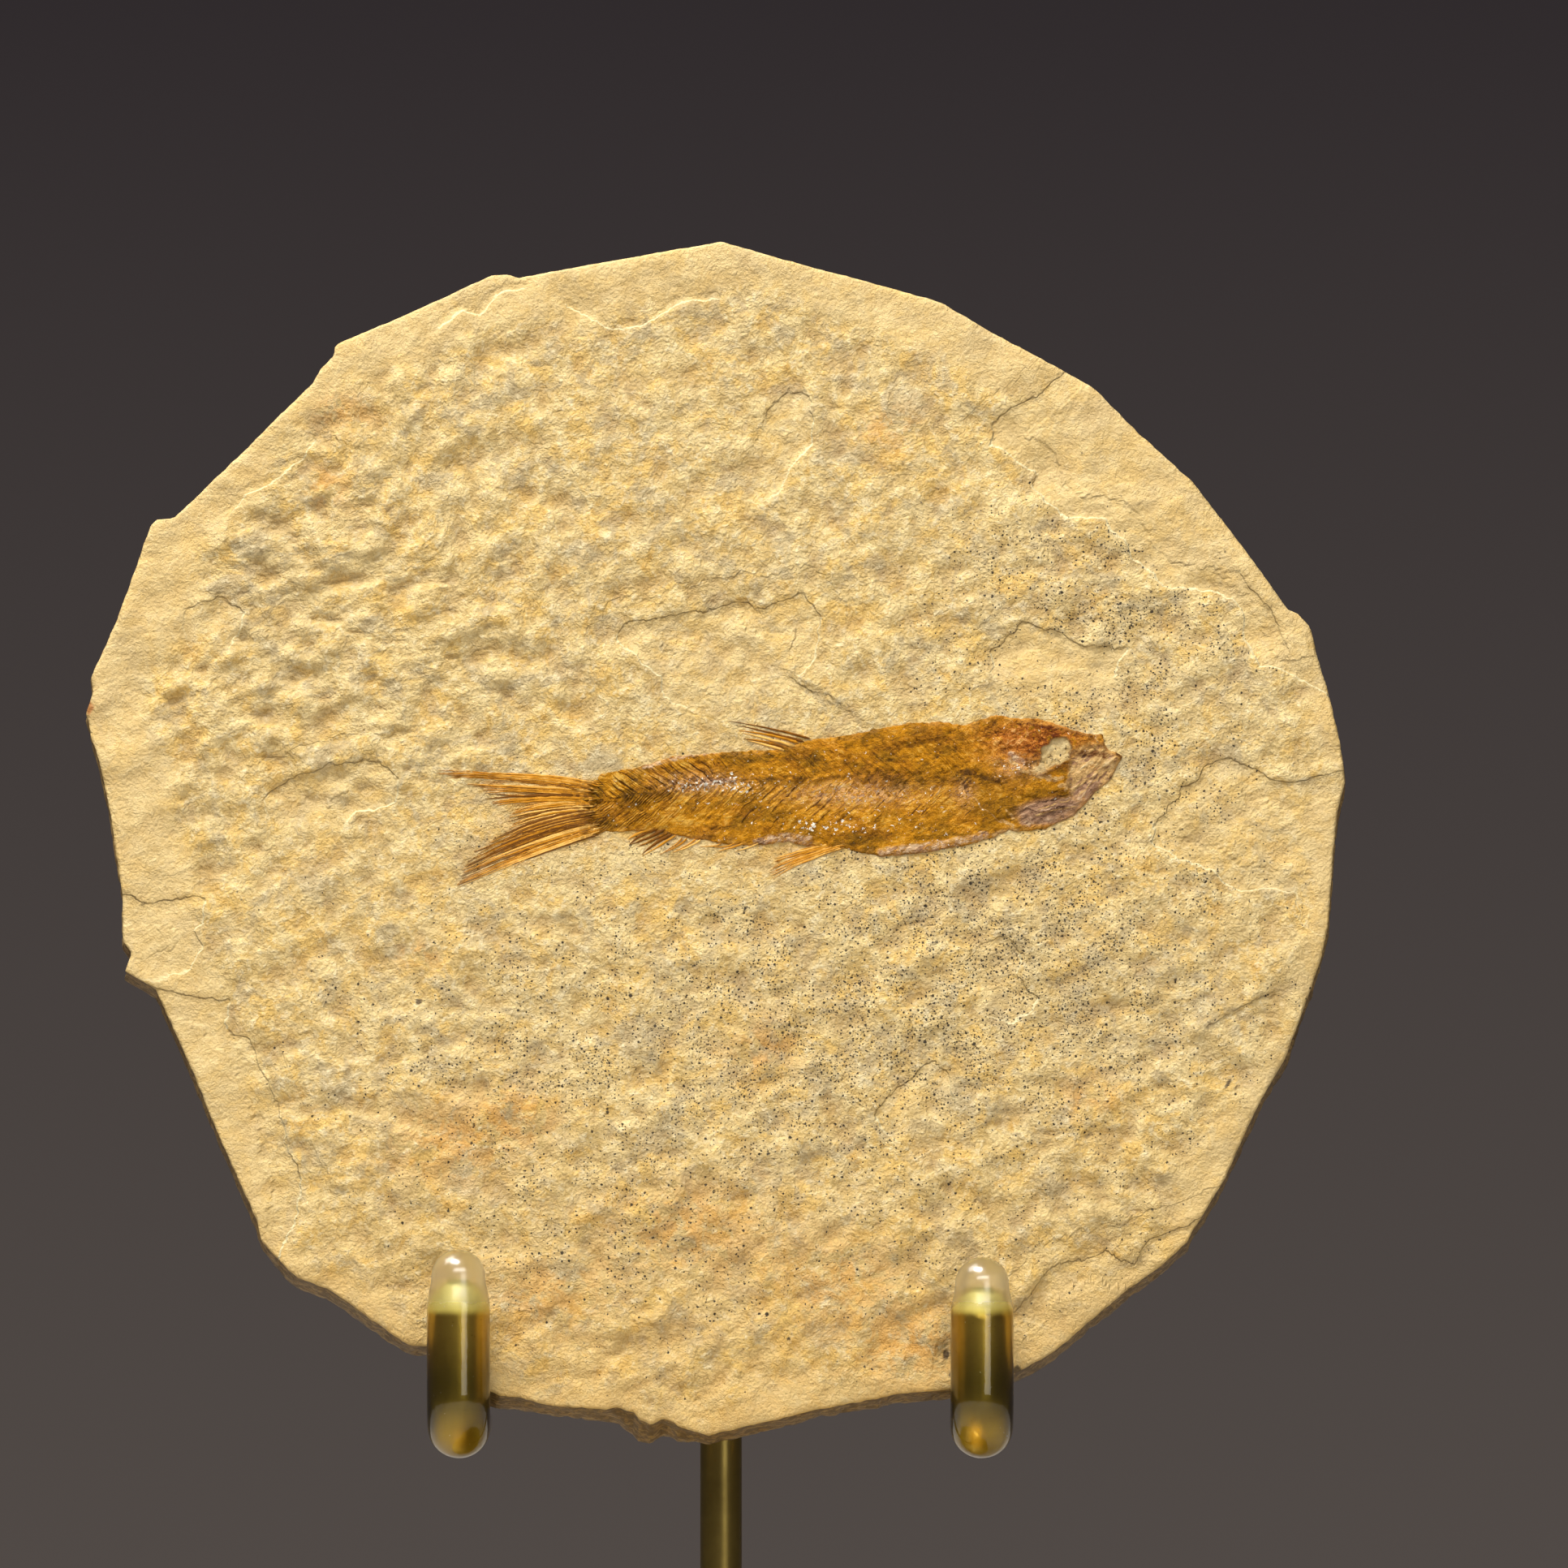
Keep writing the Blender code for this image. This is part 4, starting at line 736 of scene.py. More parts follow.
def fish_relief(x, y, from_edge):
    """Thickness of the fish over the stone, and its masks.

    The flattened body swells from a thin edge. Along the spine runs a rough band of vertebrae, with thin spines
    that lean back above and below it like a herring-bone, longer ribs over the belly, and the bones of the head
    on top.
    """
    off = y - along_line(x, FISH_SPINE)
    off = off + 0.25 * wander(x / 3.0, y / 3.0, 90)
    head = smooth((x - 29.2 - 0.5 * wander(x / 1.5, y / 1.5, 91)) / 1.2)
    trunk = 1 - head
    band_width = np.interp(x, *SPINE_WIDTHS) * (1 + 0.35 * layered(x, y / 3, 1.8, 2, 92))
    band = np.exp(-(off / band_width) ** 2) * smooth((34 - x) / 4) * smooth((x + 17.5) / 2)
    beads = 0.5 + 0.5 * np.cos(2 * np.pi * (x + 0.3 * wander(x / 4, y, 93)) / 1.15)
    warp = 0.38 * layered(x, y, 3.4, 3, 94)

    def slanting(rake, spacing, sharp):
        phase = (x + rake * abs(off) + warp) / spacing
        ridge = 1 - abs(phase - np.floor(phase) - 0.5) * 2
        return smooth((ridge - sharp) / (1 - sharp))

    broken = smooth(0.35 + 1.6 * layered(x, y, 2.6, 3, 95))
    upper = slanting(1.15, 1.12, 0.55) * smooth((off - 0.3) / 0.4) * smooth((3.6 - off + 0.05 * (x - 5)) / 1.6)
    lower = slanting(1.3, 1.05, 0.5) * smooth((-off - 0.3) / 0.4) * smooth((4.0 + off) / 1.5)
    ribs = slanting(0.95, 1.3, 0.35) * smooth((-off - 0.4) / 0.5) * smooth((7.4 + off) / 2)
    bones = upper * (0.3 + 0.7 * smooth((2 - x) / 12)) + lower * smooth((9 - x) / 5)
    bones = (bones + 0.6 * ribs * smooth((x - 6) / 4)) * trunk * (0.15 + 0.85 * broken)

    fibre = layered(x, y, 1.5, 3, 96, np.radians(6), 2.6)
    crumbs = layered(x, y, 0.75, 2, 97)
    rounded = np.sqrt(1 - (1 - np.clip(from_edge / 2.2, 0, 1)) ** 2)
    body = 0.03 + 0.32 * rounded * (0.04 + 0.96 * smooth((x + 16.5) / 6))
    thick = body + (0.10 + 0.10 * beads + 0.10 * crumbs) * band
    thick = thick + 0.10 * bones + 0.09 * fibre * smooth(from_edge / 1.2) + 0.08 * crumbs
    thick = thick + head * (0.14 * layered(x, y, 1.5, 4, 98, np.radians(-20), 1.4)) * smooth(from_edge / 0.8)

    shaken_x, shaken_y = x + 0.18 * layered(x, y, 1.2, 2, 99), y + 0.18 * layered(x, y, 1.2, 2, 100)
    masks = {}
    for kind, strokes in STROKES.items():
        mask = np.zeros_like(x)
        for wide, high, line in strokes:
            gap = line_distance(shaken_x, shaken_y, line)[0]
            stroke = np.exp(-(gap / wide) ** 2 * 0.9)
            thick = thick + high * stroke
            mask = np.maximum(mask, stroke)
        masks[kind] = mask
    tilt = np.radians(-38)
    eye_x = shaken_x + 0.35 * wander(x / 1.1, y / 1.1, 140) - 40.0
    eye_y = shaken_y + 0.35 * wander(x / 1.1, y / 1.1, 141) - 76.2
    long_way = eye_x * np.cos(tilt) - eye_y * np.sin(tilt)
    short_way = eye_x * np.sin(tilt) + eye_y * np.cos(tilt)
    eye = np.hypot(long_way / 2.1, short_way / 1.5)
    socket = 1 - smooth((eye - 0.9) / 0.2)
    thick = thick - 0.30 * socket + 0.10 * np.exp(-((eye - 1.12) / 0.16) ** 2)
    # Patches of the head: each a hill, sheared across by how far up it is.
    for patch, shear, height, centre_x, centre_y, wide, high in [
        ("eye_trail", 0.6, 1.3, 38.2, 74.4, 0.8, 0.7), ("jaw", 0, 1.3, 44.6, 73.2, 3.2, 3.4),
        ("throat", 0.45, 1.3, 39.3, 69.2, 3.8, 1.5), ("rust", 0, 1.4, 37.5, 77.8, 6.0, 2.2),
        ("cover", 0, 1.3, 32.8, 70.6, 4.4, 2.6),
    ]:
        masks[patch] = hills(x - shear * (y - centre_y), y, (height, centre_x, centre_y, wide, high))
    masks["jaw"] *= smooth((x - 40.5) / 1.5)
    masks["rust"] *= 1 - socket
    masks = {mask: np.clip(values, 0, 1) for mask, values in masks.items()}
    masks["jaw"] *= 1 - socket
    masks["eye"] = socket
    masks["crescent"] = np.exp(-((eye - 0.98) / 0.13) ** 2) * smooth((eye_x - eye_y * 0.9 - 0.5) / 0.7)
    above_cuts = slanting(1.15, 1.15, 0.74) * smooth((off - 0.1) / 0.3) * smooth((3.4 - off) / 1.2)
    below_cuts = slanting(1.45, 0.55, 0.6) * smooth((-off - 0.1) / 0.3) * smooth((4.6 + off) / 1.5)
    belly_cuts = slanting(1.0, 1.35, 0.78) * smooth((-off - 0.5) / 0.5) * smooth((6.5 + off) / 2)
    cuts = above_cuts * (0.3 + 0.7 * smooth((5 - x) / 10)) + below_cuts * smooth((-3 - x) / 4)
    cuts = cuts + 0.7 * belly_cuts * smooth((x + 2) / 5)
    cuts = np.clip(cuts * trunk * (0.3 + 0.7 * broken), 0, 1)
    thick = thick - 0.09 * cuts
    crumbled = smooth(0.35 + 1.6 * layered(x, y, 1.7, 3, 102)) * (1 - 0.55 * smooth((x - 7) / 4))
    masks |= {
        "cuts": cuts, "spine": band, "bone": np.clip(bones, 0, 1), "joint": smooth((-12.6 - x) / 2.6),
        "run": x + 1.15 * abs(off) + 0.5 * warp, "off": off, "ray_turn": ray_turn(x, y), "ray_reach": -x,
        "rows": trunk * (0.35 + 0.65 * smooth((3 - x) / 9)) * smooth((5.5 - abs(off)) / 2.5),
        "thin": 1 - smooth(from_edge / (1.0 + 0.6 * layered(x, y, 2.2, 2, 101))),
        "midline": np.exp(-((off + 0.3 * crumbs) / 0.17) ** 2) * smooth((28.5 - x) / 3) * crumbled,
        "shards": np.clip(hills(
            x, y, (1.2, -2.5, 72.5, 4.6, 1.1), (1.1, 16, 71.3, 7, 1.3), (0.9, 29, 71.4, 1.2, 1.5),
            (1, 35.3, 74.8, 2.4, 1.4)), 0, 1),
        "amber": hills(x, y, (1, 13, 70.6, 10, 2.6), (0.5, -8, 69.2, 5, 2), (0.5, 24, 67, 6, 2)),
        "glint": hills(
            x, y, (1, -3.0, 72.3, 3.4, 0.8), (1, 2.5, 72.4, 2.4, 0.9), (0.8, 12, 67.4, 6.5, 0.9),
            (0.35, 22, 69.0, 8, 3.5), (0.3, 6, 72, 14, 3), (0.7, 35.5, 74.4, 1.8, 0.9)),
    }
    return thick, masks


def full_turn(count):
    """Even angles once round."""
    return np.linspace(0, 2 * np.pi, count + 1)[:-1]


def capped(rings):
    """Faces of a closed tube: the bands between its rings of point indices, and a face across each end."""
    return [ring_faces(rings), rings[:1, ::-1], rings[-1:]]


s = np.linspace(0, 1, BODY_STATIONS)
station = TAIL_END + (s + 0.004 * np.sin(2 * np.pi * s)) * (NOSE - TAIL_END)
high, low = along_line(station, FISH_TOP), along_line(station, FISH_BELLY)
high = high + 0.13 * layered(station, 0 * s, 1.1, 3, 110) * smooth((high - low) / 2)
low = low + 0.13 * layered(station, 9 + 0 * s, 1.1, 3, 111) * smooth((high - low) / 2)
station, high, low = station[:, None], high[:, None], low[:, None]
body_y = low + (high - low) * np.linspace(0, 1, BODY_ACROSS)
body_x = station + 0 * body_y
end_gap = np.minimum(station - TAIL_END, NOSE - station) * 1.5
edge_gap = np.minimum(np.minimum(body_y - low, high - body_y), end_gap)
ground, _ = face_relief(body_x, body_y, FAR_FROM_RIM + 0 * body_x)
body_thick, body_masks = fish_relief(body_x, body_y, edge_gap)
front = on_face(body_x, body_y, ground + body_thick)
under_y = low + (high - low) * np.array([1.0, 0.66, 0.33, 0.0])
under = on_face(station + 0 * under_y, under_y, -FISH_DEPTH + 0 * under_y)
body = np.concatenate([front, under], axis=1)
fish_body = add_piece(
    "fish_body", body, capped(numbered(*body.shape[:2])[:, ::-1]), "fossil_bone", ["fossil_fish"],
    {mask: np.pad(values, ((0, 0), (0, under_y.shape[1]))) for mask, values in body_masks.items()},
)


# Fins: how many rays, their width and tone, and the ends of the lines that their bases, bends and tips lie on.
FINS = [
    (17, 0.2, 0.45, [(-14.2, 72.4), (-14.8, 71.2)],
     [(-22.3, 73.6), (-22.3, 72.6)], [(-33.9, 73.9), (-31.0, 73.3)]),
    (11, 0.2, 0.45, [(-14.6, 71.7), (-14.8, 70.9)],
     [(-22.0, 72.2), (-22.4, 71.5)], [(-30.2, 72.5), (-27.2, 71.6)]),
    (6, 0.32, 0.3, [(-14.8, 71.1), (-14.9, 70.4)],
     [(-22.0, 71.2), (-22.0, 70.5)], [(-27.7, 70.7), (-26.8, 70.0)]),
    (13, 0.22, 0.55, [(-14.9, 70.6), (-14.9, 69.2)],
     [(-20.5, 70.3), (-20.5, 68.7)], [(-24.6, 69.6), (-25.0, 67.4)]),
    (15, 0.2, 0.48, [(-14.9, 69.6), (-14.7, 68.3)],
     [(-21.5, 68.3), (-22.0, 66.6)], [(-26.7, 65.9), (-29.6, 63.9)]),
    (22, 0.19, 0.48, [(-14.6, 68.7), (-13.6, 66.8)],
     [(-22.3, 66.8), (-21.8, 64.0)], [(-30.0, 63.4), (-31.4, 60.1)]),
    (9, 0.22, 0.7, [(-14.6, 67.9), (-14.0, 67.0)],
     [(-19.6, 67.0), (-19.6, 65.2)], [(-24.4, 65.2), (-24.6, 63.2)]),
    (6, 0.36, 0.42, [(11.4, 77.7), (7.8, 76.4)], [(6.5, 79.0), (5.2, 77.2)], [(1.2, 79.8), (3.2, 77.3)]),
    (6, 0.34, 0.42, [(-7.6, 67.5), (-4.8, 66.7)], [(-10.0, 66.6), (-7.2, 65.2)], [(-11.2, 65.9), (-9.2, 63.6)]),
    (4, 0.18, 0.8, [(-4.6, 66.3), (-1.9, 66.0)], [(-5.6, 65.2), (-3.6, 65.1)], [(-7.4, 64.0), (-5.2, 64.6)]),
    (12, 0.25, 0.5, [(16.6, 66.2), (14.8, 64.9)], [(10.6, 64.9), (10.0, 63.2)], [(6.6, 63.7), (6.1, 61.3)]),
    (4, 0.2, 0.75, [(4.6, 65.4), (0.0, 65.5)], [(3.2, 64.9), (-1.0, 65.1)], [(1.4, 64.7), (-2.6, 64.9)]),
]


def fan(seed, count, wide, tone, *ends):
    """Rays of a fin: bases, bends and tips spaced along three lines, with widths and tones that vary."""
    pick = np.random.default_rng(seed)
    share = (np.arange(count) + pick.uniform(-0.2, 0.2, count)) / max(count - 1, 1)
    lines = [np.stack([np.interp(share, [0, 1], end) for end in zip(*line)], -1) for line in ends]
    lines[2] += pick.normal(0, 0.22, (count, 2))
    lines[0] += (lines[1] - lines[0]) * pick.uniform(0, 0.2, (count, 1))
    widths = wide * pick.uniform(0.7, 1.3, count)
    tones = np.clip(tone + pick.normal(0, 0.3, count), 0, 1)
    return np.concatenate([*lines, widths[:, None], tones[:, None]], 1)


rays = np.vstack([fan(seed, *fin) for seed, fin in enumerate(FINS, 1)])
RAY_STEPS, RAY_SIDES = 30, 8
s = np.linspace(0, 1, RAY_STEPS)[:, None]
base, bend, tip = rays[:, None, 0:2], rays[:, None, 2:4], rays[:, None, 4:6]
bend = bend + (bend - (base + tip) / 2) * 0.9
spine = base * (1 - s) ** 2 + bend * 2 * s * (1 - s) + tip * s ** 2
number = np.arange(len(rays))[:, None] * 7.7 + 0 * spine[..., 0]
spine[..., 1] += 0.05 * layered(spine[..., 0], number, 1.6, 2, 120)
tangent = np.gradient(spine, axis=1)
tangent /= np.linalg.norm(tangent, axis=-1, keepdims=True)
taper = np.clip(1.01 - s ** 3, 0, 1) * (0.85 + 0.15 * np.cos(np.pi * s)) * smooth(s / 0.08 + 0.1)
uneven = 1 + 0.35 * layered(spine[..., 0], number, 0.9, 2, 121)
half = rays[:, None, 6:7] / 2 * taper * uneven[..., None] + 0.012
ray_ground, _ = face_relief(*np.moveaxis(spine, -1, 0), FAR_FROM_RIM + 0 * number)
around = full_turn(RAY_SIDES)
ray_x = spine[..., :1] + tangent[..., 1:] * half * np.cos(around)
ray_y = spine[..., 1:] - tangent[..., :1] * half * np.cos(around)
ray_out = ray_ground[..., None] + (0.05 + 0.35 * half) * np.sin(around) + 0.01 + 0.16 * (1 - s) ** 4
ray_index = numbered(1, ray_x.size).reshape(ray_x.shape)
fish_rays = add_piece(
    "fish_fin_rays", on_face(ray_x, ray_y, ray_out),
    [np.concatenate([ring_faces(rings) for rings in ray_index]), ray_index[:, 0, ::-1], ray_index[:, -1]],
    "fossil_bone", (), {"tone": rays[:, 7, None, None] + 0 * ray_x, "run": s + 0 * ray_x},
)

skin = Finish("fossil_skin_and_bone", Roughness=0.5, Specular_IOR_Level=0.14)
patches = skin.cloud(10, 0.6, (3, 0, 8), 2.4, 4, 0.6, 0.5)
hues = skin.cloud(5, 0.7, (9, 9, 1), 3.2, 4, 0.6, 0.5)
wavy = skin.cloud(15, 0.5, (0, 0, 0), 0.5, 4, 0.6, 0.9)
flecks = skin.cloud(35, 0.7, (11, 0, 2), 0.8, 4, 0.65, 0.6)
crumb = skin.noise(skin.place, 0.17, 3, 0.6)
chunks = skin.cloud(20, 0.8, (7, 7, 7), 0.55, 3, 0.6, 0.5)
run, off, spine_zone, rows, cuts, joint, rust, shards, eye, amber = (skin.mask(name) for name in (
    "run", "off", "spine", "rows", "cuts", "joint", "rust", "shards", "eye", "amber"))
jaw, throat = skin.mask("jaw").rise(0.15, 0.6), skin.mask("throat").rise(0.2, 0.7)
# Noise drawn out along the small bones: fine across them, coarse the way they rake back from the spine.
hair_bones = skin.noise(skin.vector(run / 0.24, off / 1.6, 3.0), 1.0, 3, 0.6)
rib_bones = skin.noise(skin.vector(run / 0.5, off / 4.5, 9.0), 1.0, 3, 0.6)
joint_rays = skin.ray_noise(0.16)
jaw_streaks = skin.cloud(48, 0.25, (4, 4, 1), 0.55, 4, 0.6, 0.5)
throat_streaks = skin.cloud(24, 0.25, (1, 8, 3), 0.45, 4, 0.65, 0.5)
bone_texture = (hair_bones - 0.5) * (0.1 + rows * 0.9) + (rib_bones - 0.5) * (0.3 + rows * 0.8)
# Tone varies at random and with the bump's relief: its dark and pale ends are partly painted shade and highlight.
grain = (wavy - 0.5) * 0.9 + (flecks - 0.5) * 0.65 + (crumb - 0.5) * 0.6 + bone_texture * (1 - joint)
tone = grain * (1 - joint * 0.6) * (1 - jaw.most(throat) * 0.6) * (1 + rust * 0.7)
tone = tone + (patches - 0.5) * 0.85 + 0.40 + amber * 0.13 + (joint_rays - 0.5) * joint * 2.3
tone = tone + (jaw_streaks - 0.42) * jaw * 1.3 + (throat_streaks - 0.49) * throat * 1.5
tone = tone + skin.mask("bone").rise(0.35, 0.8) * 0.2 - cuts.rise(0.12, 0.5) * 0.5 + joint * 0.03
tone = tone - spine_zone * flecks.rise(0.42, 0.56) * 0.2 - skin.mask("midline") * wavy.rise(0.42, 0.56) * 0.4
tone = tone - skin.mask("dark").rise(0.3, 0.9) * wavy.rise(0.36, 0.5) * 0.3


def shades(dark, middle, pale):
    """One mineral's colour by tone: painted shade in its hollows, its body, painted highlight on its crests."""
    return skin.node("ValToRGB", {"stops": [(0.08, dark), (0.5, middle), (0.95, pale)]}, {0: tone})


golden = shades((112, 66, 2), (210, 142, 12), (252, 208, 100))
olive = shades((90, 58, 4), (176, 122, 14), (234, 190, 94))
umber = shades((98, 52, 2), (190, 120, 18), (244, 190, 104))
mauve = shades((98, 68, 50), (182, 140, 108), (252, 224, 190))
rusty = shades((102, 44, 6), (198, 118, 36), (250, 192, 118))
bony = shades((130, 82, 40), (222, 180, 116), (255, 236, 190))
scales = skin.mix(throat_streaks.rise(0.47, 0.55), mauve, (240, 204, 162))
jaw_tint = skin.mix((jaw_streaks * 0.35 + hues * 0.65).rise(0.44, 0.52), mauve, bony)
jaw_tint = skin.mix(patches.rise(0.50, 0.60) * 0.7, jaw_tint, umber)
eye_tint = skin.mix(flecks.rise(0.4, 0.6), (214, 184, 124), (242, 218, 162))
# Painted glints: near-white specks, clustered where the glint mask is high, for light caught by the bone.
glint_noise = skin.cloud(0, 1, (2, 6, 4), 0.44, 3, 0.6, 0.5)
painted_glints = (skin.mask("glint").least(1.0) * 0.135 + glint_noise - 0.70).rise(0.0, 0.015)
tint = skin.coats(
    olive,
    (patches.rise(0.40, 0.54), golden),
    (hues.rise(0.50, 0.62) * 0.5, umber),
    (amber.rise(0.2, 1.0) * 0.7, golden),
    (skin.mask("cover") * 0.6, olive),
    (spine_zone * (1 - chunks.rise(0.44, 0.54)) * 0.6, olive),
    (shards * (1 - chunks.rise(0.42, 0.50)) * 0.9, mauve),
    (shards * chunks.rise(0.51, 0.56) * 0.8, (244, 190, 128)),
    (rust * chunks.rise(0.34, 0.46), rusty),
    (skin.mask("mauve").rise(0.3, 0.75) * (0.25 + chunks.rise(0.42, 0.52) * 0.7), scales),
    (jaw, jaw_tint),
    (throat, mauve),
    (skin.mask("pale").rise(0.4, 0.85) * (0.2 + chunks.rise(0.38, 0.5) * 0.7), bony),
    (eye * 0.95, eye_tint),
    (eye * chunks.rise(0.62, 0.66) * 0.8, (90, 66, 36)),
    (skin.mask("thin") * flecks.rise(0.44, 0.56) * 0.4, (214, 158, 84)),
    (skin.mask("crescent") * flecks.rise(0.36, 0.46) * 0.8, (126, 78, 24)),
    (skin.mask("eye_trail") * chunks.rise(0.40, 0.48) * 0.9, (236, 208, 152)),
    (painted_glints, (255, 250, 236)),
)
fish_bump = grain * 0.35 - cuts * 0.2 + (joint_rays - 0.5) * joint * 0.6
fish_bump = fish_bump + jaw_streaks * jaw * 0.5 + throat_streaks * throat * 0.5
fish_body.data.materials.append(skin.finish(tint, None, fish_bump, 1.0))

ray_bone = Finish("fin_ray_bone", Specular_IOR_Level=0.15, Roughness=0.6)
tone = ray_bone.mask("tone") + (ray_bone.noise(ray_bone.place, 1.1, 3) - 0.5) * 0.7
root = (1 - ray_bone.mask("run").rise(0.0, 0.3)) * ray_bone.noise(ray_bone.place, 0.5, 3).rise(0.4, 0.55)
ray_tint = ray_bone.coats(
    (122, 74, 10),
    (tone.rise(0.15, 0.5), (208, 140, 24)),
    (tone.rise(0.5, 0.95), (250, 200, 108)),
    (root * 0.6, (92, 56, 10)),
)
ray_grain = ray_bone.noise(ray_bone.place, 0.3, 3) * 0.1
fish_rays.data.materials.append(ray_bone.finish(ray_tint, None, ray_grain, 0.7))

# Base and post: a turned brass disc with softly rounded edges, and a round brass rod set into a socket in it.
ROD_RADIUS = 2.5
BORE_RADIUS = 2.8
GRIP_RADIUS = 2.49
BASE_RADIUS, BASE_THICKNESS, SOCKET_FLOOR = 45.0, 6.0, 2.0
BACK_REST_HEIGHT = 59.6
# Radius of the tiny face that closes a round shape on its axis.
PINHOLE = 0.02


def turned(profile, sides):
    """Points and faces of a turned shape. Its profile of (radius, height) runs up outside, or down a bore."""
    flat, height = np.array(profile, float).T[..., None]
    around = full_turn(sides)
    points = np.stack([flat * np.cos(around), flat * np.sin(around), height + 0 * around], -1) * MM
    return points, capped(numbered(*points.shape[:2])[:, ::-1])


def corner(centre_radius, centre_height, size, start, end, steps=9):
    """Rounded corner of a profile: an arc about a centre, from one angle to another in degrees."""
    turn = np.radians(np.linspace(start, end, steps))
    return [(centre_radius + size * np.cos(a), centre_height + size * np.sin(a)) for a in turn]


base_profile = (
    [(PINHOLE, 0.0), (20.0, 0.0), (40.0, 0.0)] + corner(BASE_RADIUS - 0.5, 0.5, 0.5, -90, 0, 5)
    + corner(BASE_RADIUS - 1.0, BASE_THICKNESS - 1.0, 1.0, 0, 90)
    + [(30.0, BASE_THICKNESS), (12.0, BASE_THICKNESS)]
    + corner(BORE_RADIUS + 0.25, BASE_THICKNESS - 0.25, 0.25, 90, 180, 4)
    + [(BORE_RADIUS, SOCKET_FLOOR), (PINHOLE, SOCKET_FLOOR)]
)
base = add_piece("turned_base", *turned(base_profile, 192), "polished_brass", ["base"])
post_foot, post_top = SOCKET_FLOOR + 0.3, REST_LINE_HEIGHT + BACK_REST_HEIGHT - 1.0
post_profile = (
    [(PINHOLE, post_foot)] + corner(ROD_RADIUS - 0.2, post_foot + 0.2, 0.2, -90, 0, 4)
    + [(ROD_RADIUS, height) for height in range(6, 124, 6)]
    + corner(ROD_RADIUS - 0.3, post_top - 0.3, 0.3, 0, 90, 5) + [(PINHOLE, post_top)]
)
post = add_piece("brass_post", *turned(post_profile, 64), "polished_brass", ["post"])


def worn_brass(name, bright, dull):
    """Smudged, finely scratched brass: olive prongs, painted shade where they turn up, painted highlight on tips.
    """
    brass = Finish(name, Metallic=1.0)
    smudges = brass.noise(brass.place, 9, 4, 0.6)
    drawn_out = brass.node("Mapping", sockets={"Vector": brass.place, "Scale": (6, 6, 0.35)})
    scratches = brass.noise(drawn_out, 1.0, 3, 0.7)
    specks = brass.noise(brass.place, 0.5, 2, 0.6)
    height = brass.part(brass.place, 2)
    prongs = height.rise(30, 40) * (1 - brass.part(brass.place, 1).rise(-17, -14))
    turned_up = height.rise(61, 65)
    crown = prongs * height.rise(75.4, 76.4)
    metal = brass.coats(
        bright,
        (smudges.rise(0.35, 0.7), dull),
        (specks.rise(0.66, 0.74) * 0.5, (134, 96, 44)),
        (prongs * (1 - turned_up) * 0.8, (196, 166, 54)),
        # Painted shade: a darker band above where the prongs turn up, standing in for the dim room they reflect.
        (prongs * turned_up * (1 - height.rise(67, 75)) * 0.85, (112, 100, 42)),
        # The filed tips: clean pale brass, made paler and less metallic as painted highlight.
        (crown * 0.95, (255, 242, 150)),
    )
    polish = 0.3 + smudges.rise(0.3, 0.75) * 0.08 + specks.rise(0.62, 0.75) * 0.15 + crown * 0.2
    relief = (scratches - 0.5) * 0.012 + (smudges - 0.5) * 0.05
    return brass.finish(metal, polish, relief, 0.5, Metallic=1 - crown * 0.55)


brass_finish = worn_brass("worn_brass", (206, 180, 98), (178, 150, 76))
base.data.materials.append(brass_finish)
# The post is the same brass painted darker: painted shade, where it stands behind the slab.
post.data.materials.append(worn_brass("shade_darkened_brass", (140, 122, 66), (112, 96, 50)))

# Cradle: one brass rod, bent to two prongs that run forwards under the slab and turn up in front of it. Its
# cross-bar is brazed to the front of the post.
HALF_SPACING = 31.0
SLEEVE_RADIUS, PRONG_CLEARANCE = 3.75, 1.0
RUN_HEIGHT = REST_LINE_HEIGHT - SLEEVE_RADIUS
PRONG_FRONT = REST_LINE_FRONT - PRONG_CLEARANCE - SLEEVE_RADIUS
BAR_BACK, BAR_HEIGHT = -5.3, REST_LINE_HEIGHT + 14.0
DOME_LENGTH = 6.5
FILED_TIP, TIP_SHARE = 2.9, 0.3
TIP_HEIGHTS = {-1: REST_LINE_HEIGHT + 17.4, 1: REST_LINE_HEIGHT + 16.5}
FRONT_BEND, BACK_BEND = 4.2, 5.0
BEAD_SIZE, BEAD_BACK = (3.4, 1.5, 3.2), -2.7


def bent_route(corners, bends, straight=14, arc=18):
    """Stations along a route of straight legs whose inner corners are quarter circles."""
    corners = [np.array(corner, float) for corner in corners]
    ends, route = corners[0], []
    for before, here, after, bend in zip(corners, corners[1:], corners[2:], bends):
        back = (before - here) / np.linalg.norm(before - here)
        ahead = (after - here) / np.linalg.norm(after - here)
        centre = here + (back + ahead) * bend
        turn = np.linspace(0, np.pi / 2, arc + 1)[:, None]
        bow = centre - ahead * bend * np.cos(turn) - back * bend * np.sin(turn)
        route += [ends + (bow[0] - ends) * np.linspace(0, 1, straight)[:-1, None], bow[:-1]]
        ends = bow[-1]
    route.append(ends + (corners[-1] - ends) * np.linspace(0, 1, straight)[:, None])
    return np.concatenate(route)


def swept(route, radii, upright, sides, along=None):
    """Points and faces of a round rod along a route, with one of its spokes kept turned to `upright`."""
    along = np.gradient(route, axis=0) if along is None else along
    along = along / np.linalg.norm(along, axis=1, keepdims=True)
    second = upright - along * (upright * along).sum(1, keepdims=True)
    second /= np.linalg.norm(second, axis=1, keepdims=True)
    first, around = np.cross(along, second), full_turn(sides)[:, None]
    spokes = first[:, None] * np.cos(around) + second[:, None] * np.sin(around)
    points = (route[:, None] + spokes * np.asarray(radii, float)[:, None, None]) * MM
    return points, capped(numbered(len(route), sides))


def filed(radius, from_tip):
    """Radius of the rod at a distance from its end, where it is filed to a blunt cone."""
    return radius * (TIP_SHARE + (1 - TIP_SHARE) * np.clip(from_tip / FILED_TIP, 0, 1))


